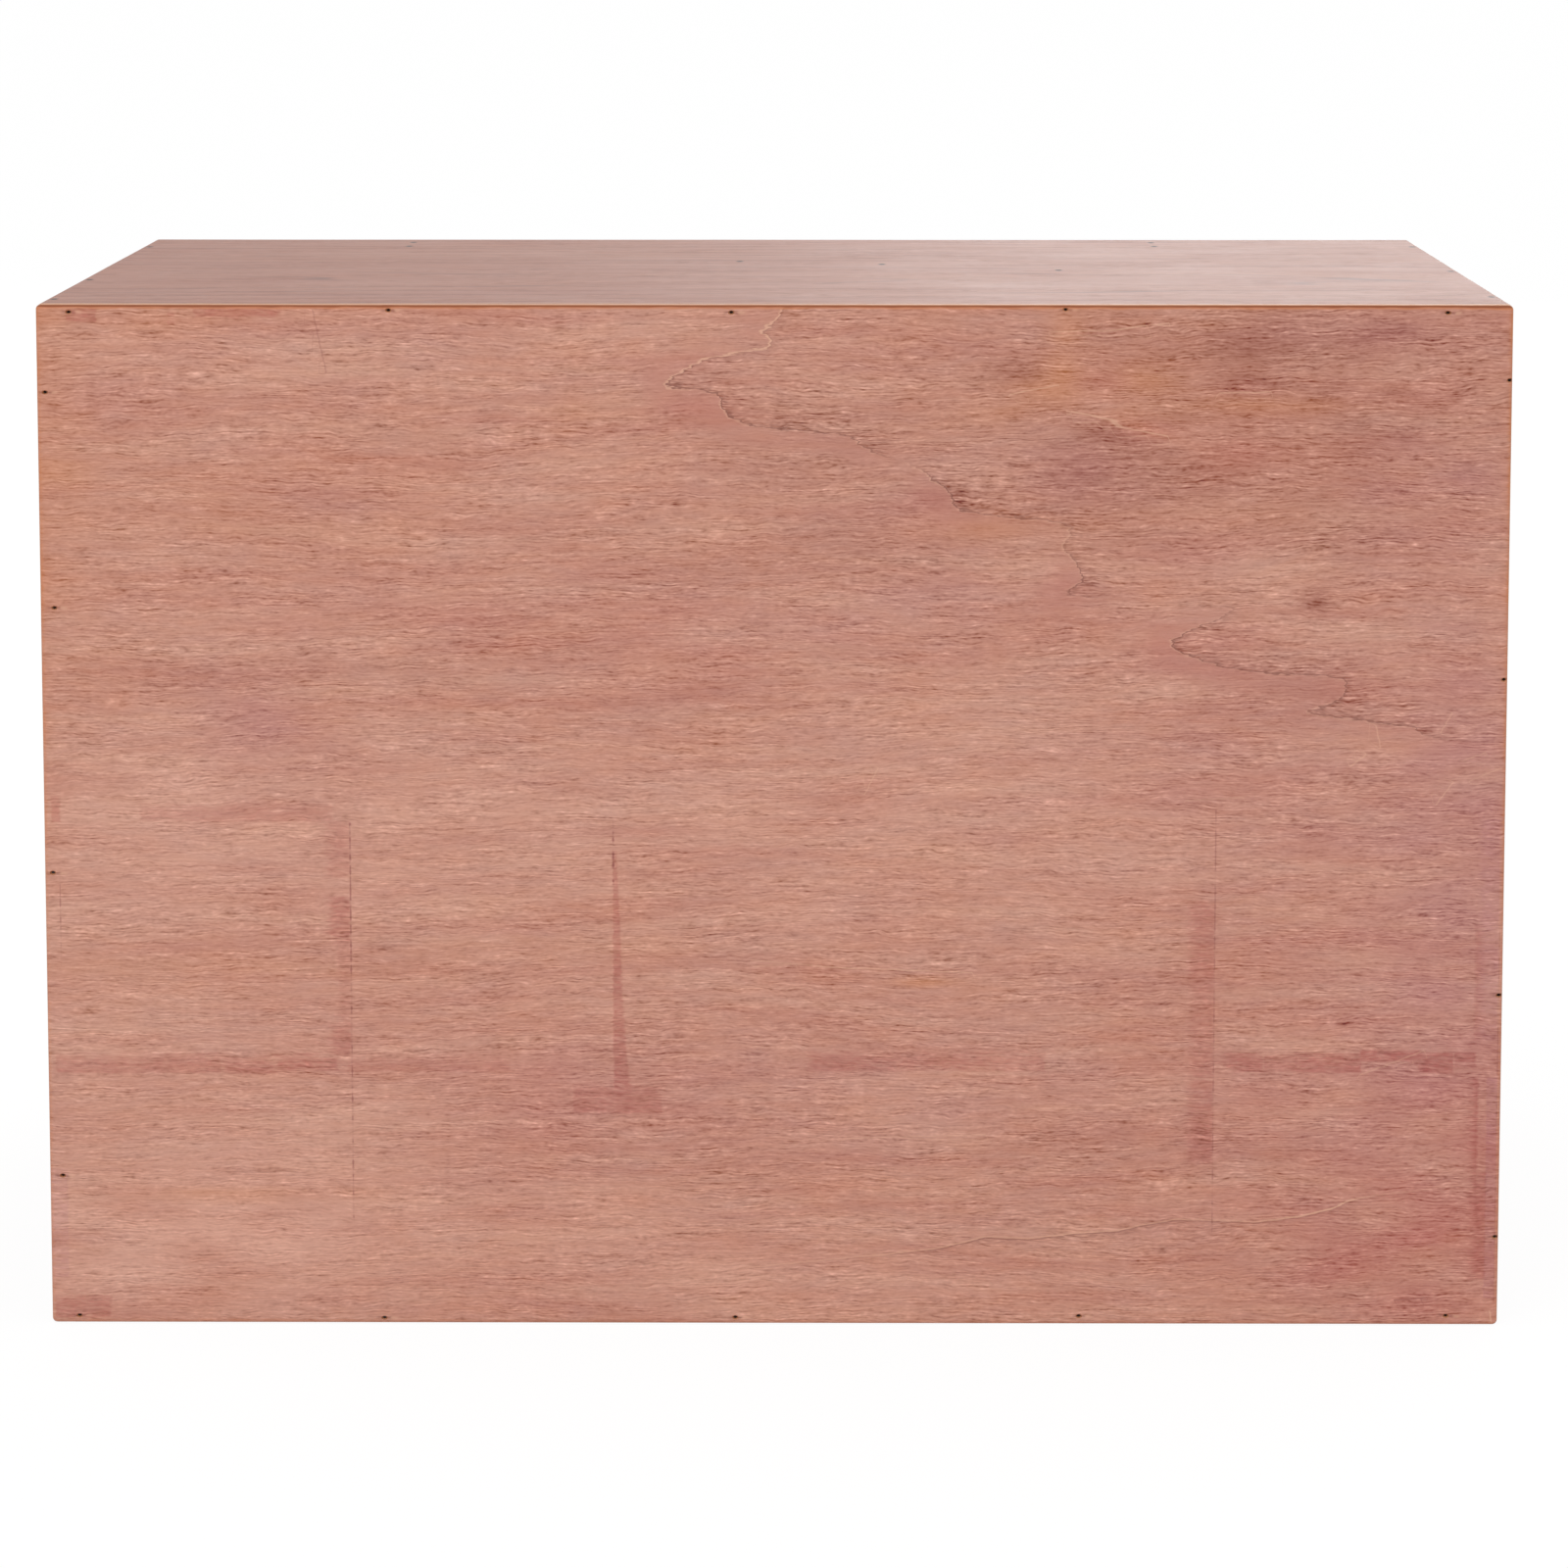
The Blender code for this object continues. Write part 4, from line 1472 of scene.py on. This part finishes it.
    def patch_mark(self, plane: np.ndarray, patches: tuple[Patch, ...]) -> np.ndarray:
        """Sums soft clouds, each a bell curve over its half sizes: exp(-(x/a)^2 - (z/b)^2).

        Args:
            plane: Points as X and Z.
            patches: The clouds.

        Returns:
            The sum at each point.
        """
        total = np.zeros(len(plane))
        for patch in patches:
            offset = plane - self.spots(((patch.across, patch.down),))[0]
            offset[:, 1] -= offset[:, 0] * patch.slant
            half = np.array((patch.half_width, patch.half_height)) / self.pixels_per_metre
            total += patch.strength * np.exp(-((offset / half) ** 2).sum(1))
        return total

    def rim_mark(self, plane: np.ndarray) -> np.ndarray:
        """Finds how warm the rims are: each falls off by a power of e over its own width.

        Args:
            plane: Points as X and Z.

        Returns:
            The sum of the three rims at each point.
        """
        low, high = self.box()
        x, z = plane.T
        upper = np.clip((z - low.z) / (high.z - low.z) * 4 - 1.5, 0, 1)
        rims = ((high.z - z, self.top_rim_width, 0.35), (high.x - x, self.left_rim_width, 0.38 * upper),
                (x - low.x, self.right_rim_width, 0.1 + 0.35 * upper))
        return sum(share * np.exp(-away / width) for away, width, share in rims)

    def surface(self) -> Surface:
        """Shapes the panel's rounded, nailed and slightly uneven skin.

        Returns:
            The skin with its marks.
        """
        low, high = (np.array(corner) for corner in self.box())
        points, faces = self.shell().skin()
        on_face = points[:, 1] > high[1] - ON_PLANE
        plane = points[:, (0, 2)].copy()
        low_radii = np.array((self.corner_radius, self.inner_radius, self.corner_radius))
        high_radii = np.array((self.corner_radius, self.outer_radius, self.corner_radius))
        points = round_edges(points, low, high, low_radii, high_radii)
        faces = self.plain_inside(points, faces)
        marks = nail_marks(plane, self.nails())
        marks["hole"] = HOLE.sink(points, on_face, Axis.DEEP, self.nails())
        hills = unevenness(points, Axis.DEEP, self.hill_height, self.hill_length)
        points[:, 1] -= on_face * (self.hill_height + hills)
        for line in GROWTH_LINES:
            names = (line.name, f"{line.name}_dark", f"{line.name}_light")
            marks.update(zip(names, self.growth_marks(plane, line)))
        marks["scratch"], marks["scratch_strength"] = self.scratch_marks(plane)
        for glue in GLUES:
            marks[glue.mark], marks[f"{glue.mark}_strength"] = self.trace_marks(plane, glue.traces)
        for cloud in CLOUDS:
            marks[cloud.mark] = self.patch_mark(plane, cloud.patches)
        marks["warm_rim"] = self.rim_mark(plane)
        inner = points[:, 1] < (low[1] + high[1]) / 2
        for name, values in marks.items():
            values[inner] = self.far if name in ("nail_far", "figure", "low_figure") else 0.0
        return Surface(points, faces, marks)

    def build(self) -> None:
        """Makes the panel."""
        material = VENEER.material(self.box())
        self.surface().to_object("back_panel_skin", CASE, "stained_back", material, (self.name,))


@dataclass(frozen=True)
class Veneer:
    """The salmon stain on the back's rotary-cut veneer, with short wavy fibres along X.

    Lengths are in millimetres. Fibres lighten and darken all three colours alike, bands mostly the
    green, and hues turn red against blue.

    Attributes:
        deep: How deep the fibres' lumps reach.
        strokes: The length, width and strength, in steps of 255, of each layer of fibres.
        breaks: The length, width and strength of the lumps that break the fibres up.
        rows: The length and width of the rows in which fibres crowd.
        glint: The tint of torn light fibres and of filler.
        smear: The tint of the torn fibres beside a nail.
    """

    base: Tint = (195, 138, 118)
    deep: float = 4.0
    strokes: Layers = ((1.4, 0.4, 25.0), (3.8, 0.45, 47.0), (11.0, 0.5, 44.0), (34.0, 0.8, 22.0))
    breaks: tuple[float, float, float] = (1.5, 0.5, 2.2)
    rows: tuple[float, float] = (30.0, 1.8)
    bands: Layers = ((40.0, 3.5, 16.0), (50.0, 8.0, 20.0), (90.0, 20.0, 15.0))
    band_share: Tint = (0.7, 1.1, 1.0)
    hues: Layers = ((30.0, 12.0, 7.0), (9.0, 2.4, 6.0))
    hue_share: Tint = (1.0, 0.05, -0.9)
    pore_steps: float = -2.5
    glint: Tint = (222, 172, 144)
    late_wood: Tint = (116, 62, 48)
    # Near black, for the nail pits: partly dark torn wood, partly painted shade.
    hole: Tint = (26, 14, 12)
    smear: Tint = (120, 66, 56)
    rim: Tint = (194, 116, 68)
    # The dark line along the top rim: painted shade of the gap under the top board.
    top_gap_shade: Tint = (134, 60, 14)
    edge: Tint = (204, 146, 108)
    edge_dark: Tint = (164, 94, 56)
    roughness: float = 0.5
    relief: float = 0.04

    def material(self, box: Box) -> bpy.types.Material:
        """Makes the finish for the back panel's box."""
        return VeneerLayers(self, box).finished()


class VeneerLayers:
    """The veneer's finish as it is made, layer on layer.

    Attributes:
        finish: The finish.
        box: The panel's corners.
        place: The panel's own point.
        grain: The fibres, bent by their flow.
        cloud: Soft clouds, about 0.
        fibre: Short fibres, about 0.
        teeth: How far, in millimetres, the torn fibres shift a growth line.
        calm: 1 where the veneer is smooth beside a growth line.
        busy: 1 where its pores crowd on the line's other side.
        colour: The colour so far.
    """

    def __init__(self, finish: Veneer, box: Box) -> None:
        """Bends the fibres' flow, and finds the two sides of the growth line.

        Args:
            finish: The finish.
            box: The panel's corners.
        """
        self.finish, self.box = finish, box
        self.recipe = recipe = Recipe.named("stained_back_panel")
        self.mark = recipe.mark
        self.place = place = recipe.place()
        flow = (recipe.noise(place, (120, 60, 34)) - 0.5) * 9
        ripple = (recipe.noise(place, (7, 6, 3.5), 1.0) - 0.5) * 1.5
        self.grain = Grain(recipe, place + recipe.vector(0.0, 0.0, flow + ripple), finish.deep)
        self.cloud, self.fibre = self.grain.lumps(26, 10), self.grain.lumps(6.5, 1.0)
        still = Grain(recipe, place, finish.deep)
        self.teeth = still.lumps(5.0, 0.9) * 1.5 + still.lumps(1.6, 0.35) * 0.7
        line, shown = self.mark("figure") + self.teeth, self.mark("figure_dark")
        self.calm = line.rise(0.2, 0.7) * line.fall(3.5, 9.0) * shown
        self.busy = line.rise(-12.0, -1.0) * line.fall(-0.3, 0.0) * shown
        self.colour: Wire | None = None

    def lay(self, tint: Tint, share: Wire) -> None:
        """Mixes a tint into the colour."""
        self.colour = self.colour.toward(tint, share)

    def stain(self) -> None:
        """Mixes the stain's own tone with its bands, its hues and its clouds."""
        finish = self.finish
        steps = self.grain.layers(finish.bands)
        self.colour = steps * level(finish.base, finish.band_share) + paint(finish.base)[:3]
        self.colour += self.grain.layers(finish.hues) * level(finish.base, finish.hue_share)
        uneven = self.cloud * 1.6 + steps * 0.01 + 0.75
        for cloud in CLOUDS:
            self.lay(cloud.tone.value, (self.mark(cloud.mark) * uneven * cloud.cover).limited())
        self.lay(Tone.ROSE.value, self.calm * 0.16)

    def fibres(self) -> None:
        """Lays light and dark fibres, few on the calm side of the growth line and many on the busy one."""
        length, width, depth = self.finish.breaks
        steps = self.grain.layers(self.finish.strokes) * (self.grain.lumps(length, width) * depth + 1)
        crowd = self.grain.lumps(*self.finish.rows).rise(-0.2, 0.25) * 0.55 + 0.62
        crowd = crowd + self.grain.lumps(24, 8).rise(-0.2, 0.2) * 0.4 - 0.1
        crowd = crowd + self.mark("brown_patch") * 0.08 - self.mark("pale_patch") * 0.12
        crowd = crowd * (1 - self.calm * 0.65) + self.busy * 0.5
        pore = steps.fall(-12.0, -4.0) * self.finish.pore_steps
        self.colour += ((steps + pore + 0.5) * crowd - self.busy * 6) * level(self.finish.base)

    def growth_lines(self) -> None:
        """Draws the late-wood lines: a dark core that frays into the busy side, and a light edge."""
        fray = self.grain.lumps(3.0, 0.45).rise(-0.05, 0.12)
        for growth in GROWTH_LINES:
            line = self.mark(growth.name) + self.teeth * growth.torn
            frayed = line.fall(-0.2, 0.1) * line.rise(-2.4, -0.1) * fray
            dark = (abs(line).fall(0.06, 0.3) * 0.75).most(frayed * 0.5) * self.mark(f"{growth.name}_dark")
            light = abs(line - 0.42).fall(0.12, 0.36) * self.mark(f"{growth.name}_light")
            self.lay(self.finish.late_wood, dark)
            self.lay(self.finish.glint, light * 0.7)

    def traces(self) -> None:
        """Draws the marks that glued boards left, mottled by the fibres."""
        speck = self.grain.lumps(2.6, 0.7)
        mottle = (self.cloud * 0.3 + self.fibre * 0.7 + speck * 0.8).rise(-0.3, 0.3) * 0.6 + 0.4
        dots = self.recipe.noise(self.grain.point, (60, 60, 3.0), 1.0).rise(0.42, 0.58) * 0.8 + 0.2
        for glue in GLUES:
            gap = self.mark(glue.mark) + self.fibre * (glue.soft * 2.5)
            inside = gap.fall(-glue.soft, glue.soft * 0.6) * self.mark(f"{glue.mark}_strength")
            cover = (inside * (dots if glue.dotted else mottle)).limited()
            film = np.divide(paint(glue.tone.value), paint(self.finish.base))
            self.colour = self.recipe.mix(cover, self.colour, tuple(map(float, film)), "MULTIPLY")

    def scratches(self) -> None:
        """Draws the thin light and dark marks that handling left."""
        cut = abs(self.mark("scratch") + self.fibre * 0.5).fall(0.1, 0.32) * self.mark("scratch_strength")
        self.lay(self.finish.glint, cut.limited() * 0.6)
        self.lay(Tone.DARK.value, (cut * -1.0).limited() * 0.7)

    def nails(self) -> None:
        """Darkens the torn fibres round the nail holes, leaves a tail of light filler on one side, and paints
        the pits near black, partly painted shade.
        """
        x, z = self.mark("nail_x") + self.fibre * 1.5, abs(self.mark("nail_z") + self.fibre * 0.8)
        thin = z.fall(0.2, 0.7) * self.mark("nail_far").fall(5.0, 6.0)
        left = x * -1.0
        tail = thin * left.rise(1.6, 2.4) * left.fall(3.0, 4.6)
        self.lay(self.finish.smear, thin * abs(x).fall(1.0, 2.8) * 0.45)
        self.lay(self.finish.glint, tail * 0.4)
        # The pits turn near black: partly dark torn wood, partly painted shade.
        self.lay(self.finish.hole, self.mark("hole").rise(*HOLE.shown))

    def rims(self) -> None:
        """Warms the worn rims, paints a dark line of shade along the top rim where the gap under the top
        board falls, and shows the plies in the edges, lighter on edges that face up as a painted highlight.
        """
        finish, recipe, (low, high) = self.finish, self.recipe, self.box
        rim = recipe.rim_distance(self.place, self.box) + self.fibre * 2.0
        warm = self.mark("warm_rim") * (self.cloud * 2 + 0.9) + rim.fall(0.2, 1.4) * 0.3
        _, y, z = recipe.parts(self.place)
        below_top = high.z / MM - z + self.fibre * 0.5
        self.lay(finish.rim, warm.limited())
        self.lay(finish.rim, below_top.fall(0.8, 1.5) * 0.75)
        # A dark line along the top rim: painted shade of the gap under the top board.
        self.lay(finish.top_gap_shade, below_top.fall(0.5, 0.95) * 0.9)
        plies = abs(y - (low.y + high.y) / 2 / MM).rise(1.2, 1.5)
        # Edges that face up take the lighter edge tint: painted light from above, added to the plies' own
        # tones.
        up = recipe.facing(Axis.UPRIGHT).rise(0.6, 0.9)
        light = plies * 0.5 + (self.cloud + 0.1) + up
        edge = recipe.mix(light, paint(finish.edge_dark), paint(finish.edge))
        self.colour = recipe.mix(abs(recipe.facing(Axis.DEEP)).fall(0.35, 0.8), self.colour, edge)

    def finished(self) -> bpy.types.Material:
        """Lays every layer in order.

        Returns:
            The material.
        """
        for layer in (self.stain, self.fibres, self.growth_lines, self.traces, self.scratches, self.nails,
                      self.rims):
            layer()
        pitted = self.grain.lumps(3.2, 0.6)
        rough = pitted * 0.15 + self.finish.roughness
        return self.recipe.finish(self.colour, rough, pitted + self.fibre * 0.5, self.finish.relief)


VENEER = Veneer()


@dataclass
class TopPanel(Board):
    """The top board, nailed along both ends and over the boards that it is housed on.

    Attributes:
        rear_radius: The small round where the top meets the back panel.
        nail_inset: How far the outermost nails lie from the edges.
        stain_reach: How far from a nail the grid keeps a line for its stain.
        nail_shares: Where the nails are, as shares of the width from +X and of the depth from the back.
    """

    radius: float = 1.2 * MM
    spacing: float = 9 * MM
    rear_radius: float = 0.3 * MM
    nail_inset: float = 2.6 * MM
    stain_reach: float = 6.0 * MM
    hill_height: float = 0.05 * MM
    hill_length: float = 0.04
    nail_shares: tuple[tuple[float, float], ...] = (
        (0.0, 0.05), (0.0, 0.33), (0.0, 0.87), (1.0, 0.09), (1.0, 0.47), (1.0, 0.88),
        (0.205, 0.887), (0.205, 0.955), (0.796, 0.887), (0.796, 0.955),
        (0.470, 0.623), (0.578, 0.577), (0.709, 0.483),
    )

    def radii(self) -> tuple[np.ndarray, np.ndarray]:
        """The rounds, small at the back."""
        return np.full(3, self.radius), np.array((self.radius, self.rear_radius, self.radius))

    def nails(self) -> np.ndarray:
        """The middles of the nails, as X and Y."""
        low, high = self.corners()
        low, high = low[:2] + self.nail_inset, high[:2] - self.nail_inset
        return high - (high - low) * np.array(self.nail_shares)

    def extra_lines(self, axis: int) -> np.ndarray:
        """Places lines round the nail holes, and round the stain that spreads from each.

        Args:
            axis: The axis that the lines divide.

        Returns:
            The places of the lines.
        """
        if axis == Axis.UPRIGHT.value:
            return np.zeros(0)
        middles = self.nails()[:, axis]
        return np.concatenate([HOLE.lines(middles), middles - self.stain_reach, middles + self.stain_reach])

    def shape(self, points: np.ndarray, flat: np.ndarray) -> dict[str, np.ndarray]:
        """Sinks the nail holes, and lets the top rise and fall a little.

        Args:
            points: The points, with the edges rounded.
            flat: The same points before the edges were rounded.

        Returns:
            The depth of the holes and the offsets from the nails.
        """
        high = self.corners()[1]
        on_face = flat[:, 2] > high[2] - ON_PLANE
        sunk = HOLE.sink(points, on_face, Axis.UPRIGHT, self.nails())
        hills = unevenness(flat, Axis.UPRIGHT, self.hill_height, self.hill_length)
        points[:, 2] -= on_face * (self.hill_height + hills)
        return {"hole": sunk, **nail_marks(flat[:, :2], self.nails())}


@dataclass
class Upright(Board):
    """An upright whose front edge is hollowed by one arc.

    Attributes:
        scoop_depth: How deep the hollow is.
        scoop_margin: How much straight edge is left at each end of the slot.
        arc_lines: The number of grid lines along the arc.
    """

    scoop_depth: float = 26 * MM
    scoop_margin: float = 14 * MM
    arc_lines: int = 49

    def slot_ends(self) -> tuple[float, float]:
        """The floor and the top of the slots beside the upright."""
        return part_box("centre_upper_shelf")[1].z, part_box("top_panel")[0].z

    def extra_lines(self, axis: int) -> np.ndarray:
        """Places lines along the arc, closer where it meets the straight edge.

        Args:
            axis: The axis that the lines divide.

        Returns:
            The places of the lines.
        """
        if axis != Axis.UPRIGHT.value:
            return np.zeros(0)
        low, high = self.slot_ends()
        turn = np.linspace(-1, 1, self.arc_lines)
        return (low + high) / 2 + np.sin(turn * math.pi / 2) * ((high - low) / 2 - self.scoop_margin)

    def shape(self, points: np.ndarray, flat: np.ndarray) -> dict[str, np.ndarray]:
        """Draws the front edge back to a circle through both ends of the hollow.

        A circle with this half chord and depth has the radius (chord^2 + depth^2) / (2 depth).
        Every point moves back in proportion to its distance from the rear edge.

        Args:
            points: The points, with the edges rounded.
            flat: The same points before the edges were rounded.

        Returns:
            No marks.
        """
        low, high = self.slot_ends()
        half = (high - low) / 2 - self.scoop_margin
        radius = (half**2 + self.scoop_depth**2) / (2 * self.scoop_depth)
        rise = np.clip(points[:, 2] - (low + high) / 2, -half, half)
        hollow = np.sqrt(radius**2 - rise**2) - (radius - self.scoop_depth)
        front, back = (corner[1] for corner in self.corners())
        points[:, 1] += hollow * (back - points[:, 1]) / (back - front)
        return {}


@dataclass(frozen=True)
class Brads:
    """Small headless nails, each at the bottom of its hole."""

    radius: float = 0.46 * MM
    length: float = 1.6 * MM
    dome: float = 0.08 * MM
    sides: int = 12

    def profile(self) -> np.ndarray:
        """From the pin's lower end up its side and over its slightly domed end."""
        edge = self.radius - self.dome
        return np.array([(0, -self.length), (self.radius, -self.length), (self.radius, -self.dome),
                         (edge, 0), (0, self.dome / 2)])

    def build(self, name: str, axis: Axis, middles: np.ndarray, face: float) -> None:
        """Drives a brad into each hole of a face.

        Args:
            name: The name of the joined piece.
            axis: The axis that the face looks along.
            middles: The holes' middles.
            face: The face's place along its axis.
        """
        places = np.empty((len(middles), 3))
        places[:, axis.plane] = middles
        places[:, axis.value] = face - HOLE.depth - self.dome / 2
        surface = turned(self.profile(), self.sides, axis, 1, places)
        surface.to_object(name, CASE, "steel", BLACKENED.material())


@dataclass
class Case:
    """The case: its panels, sides, partitions, shelves and uprights, each housed in its neighbours."""

    outer_radius: float = 1.2 * MM

    def boards(self) -> list[Board]:
        """Lists every board of the case but the back panel.

        Returns:
            The boards, each with its neighbours' cuts.
        """
        partitions = tuple(Cut(f"{hand}_partition") for hand in ("left", "right"))
        uprights = tuple(map(Cut, UPRIGHTS))
        boards = [Board("bottom_panel", partitions, self.outer_radius),
                  TopPanel("top_panel", partitions + uprights)]
        for hand in ("left", "right"):
            shelves = tuple(Cut(f"{hand}_{row}_shelf") for row in ROWS)
            middle = tuple(Cut(f"centre_{row}_shelf") for row in ROWS)
            boards.append(Board(f"{hand}_side", shelves, self.outer_radius))
            boards.append(Board(f"{hand}_partition", shelves + middle))
        for column in COLUMNS:
            for row in ROWS:
                housed = uprights if (column, row) == ("centre", "upper") else ()
                boards.append(Board(f"{column}_{row}_shelf", housed))
        return boards + [Upright(name) for name in UPRIGHTS]

    def build(self) -> None:
        """Makes the boards and drives the brads into the back panel and the top."""
        for board in self.boards():
            upright = board.node.endswith(("_side", "_partition", "_upright"))
            wood = TOP if isinstance(board, TopPanel) else STAINED
            grain = Axis.UPRIGHT if upright else Axis.ACROSS
            board.build(CASE, "stained_wood", wood.material(board.node, grain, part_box(board.node)))
        back, top = BackPanel(), TopPanel("top_panel")
        back.build()
        brads = Brads()
        brads.build("back_brads", Axis.DEEP, back.nails(), back.box()[1].y)
        brads.build("top_brads", Axis.UPRIGHT, top.nails(), top.corners()[1][2])


@dataclass(frozen=True)
class Knob:
    """A turned brass knob: a flat foot, a cove up to the neck and a domed head."""

    length: float = 16 * MM
    radius: float = 7.8 * MM
    rim_height: float = 11.2 * MM
    head_height: float = 8.5 * MM
    neck_radius: float = 3.2 * MM
    foot_radius: float = 5.5 * MM
    foot_thickness: float = 1.8 * MM
    foot_ease: float = 0.3 * MM
    bore_radius: float = 1.8 * MM
    bore_depth: float = 9.3 * MM
    dome_start_degrees: float = -60.0
    cove_steps: int = 20
    dome_steps: int = 36
    sides: int = 64

    def profile(self) -> np.ndarray:
        """From the bore's end out to the foot, up the cove and over the dome.

        The cove's radius is a parabola of the height, from the foot to the neck and out to the
        underside of the head. The head is half an ellipse above its rim and part of a flatter one
        below it.

        Returns:
            Radii and heights, one row each.
        """
        start = math.radians(self.dome_start_degrees)
        under = self.rim_height - self.head_height
        share = np.linspace(0, 1, self.cove_steps + 1)
        ends = np.where(share < 0.5, self.foot_radius, self.radius * math.cos(start))
        rise = self.rim_height + under * math.sin(start) - self.foot_thickness
        cove = np.stack([self.neck_radius + (ends - self.neck_radius) * (2 * share - 1) ** 2,
                         self.foot_thickness + share * rise], -1)
        angle = np.linspace(start, math.pi / 2, self.dome_steps + 1)[1:]
        reach = np.where(angle > 0, self.length - self.rim_height, under)
        dome = np.stack([self.radius * np.cos(angle), self.rim_height + reach * np.sin(angle)], -1)
        dome[-1, 0] = 0
        bore = [(0, self.bore_depth), (self.bore_radius, self.bore_depth), (self.bore_radius, 0)]
        foot = [(self.foot_radius - self.foot_ease, 0), (self.foot_radius, self.foot_ease)]
        return np.concatenate([bore, foot, cove, dome])

    def build(self, node: str, body: str) -> None:
        """Makes the knob in the place of its node, on the middle of its drawer's front.

        Args:
            node: The knob's node.
            body: The drawer's body.
        """
        low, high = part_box(node)
        foot = np.array([((low.x + high.x) / 2, high.y, (low.z + high.z) / 2)])
        surface = turned(self.profile(), self.sides, Axis.DEEP, -1, foot)
        height = foot[0, 1] - surface.points[:, 1]
        middle = (self.foot_thickness + self.rim_height) / 2
        surface.marks["tarnish"] = np.exp(-((height - middle) / (middle - self.foot_thickness)) ** 4)
        surface.to_object(f"{node}_turned", body, "brass", BRASS.material(), (node,))


@dataclass(frozen=True)
class Drawer:
    """A drawer: a stained front with a knob, and a bare box behind it."""

    column: str
    row: str

    @property
    def name(self) -> str:
        """The drawer's body."""
        return f"{self.column}_{self.row}_drawer"

    def boards(self) -> list[Board]:
        """Lists the front, both sides, the back and the base.

        Returns:
            The boards, each with its neighbours' cuts.
        """
        front, left, right, back, base = (
            f"{self.name}_{part}" for part in ("front", "left_side", "right_side", "back", "base"))
        side_cuts = (Cut(base, Axis.DEEP), Cut(back, Axis.UPRIGHT))
        return [
            Board(front, (Cut(left, Axis.UPRIGHT), Cut(right, Axis.UPRIGHT), Cut(base)), 0.9 * MM, 12 * MM),
            Board(left, side_cuts), Board(right, side_cuts), Board(back), Board(base),
        ]

    def build(self) -> None:
        """Makes the drawer on its body."""
        for board in self.boards():
            is_front = board.node.endswith("_front")
            grain = Axis.DEEP if board.node.endswith("_side") else Axis.ACROSS
            wood, slot = (STAINED, "stained_wood") if is_front else (BARE, "bare_wood")
            board.build(self.name, slot, wood.material(board.node, grain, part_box(board.node)))
        Knob().build(f"{self.name}_knob", self.name)
        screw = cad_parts[f"{self.name}_knob_screw"]
        screw.data.materials.clear()
        screw.data.materials.append(STEEL.material())


def main() -> None:
    """Builds the studio and the pieces in order."""
    logging.basicConfig(level=logging.INFO, format="%(message)s")
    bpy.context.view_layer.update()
    Studio().build()
    Case().build()
    for column in COLUMNS:
        for row in ROWS:
            Drawer(column, row).build()


if __name__ == "__main__":
    main()
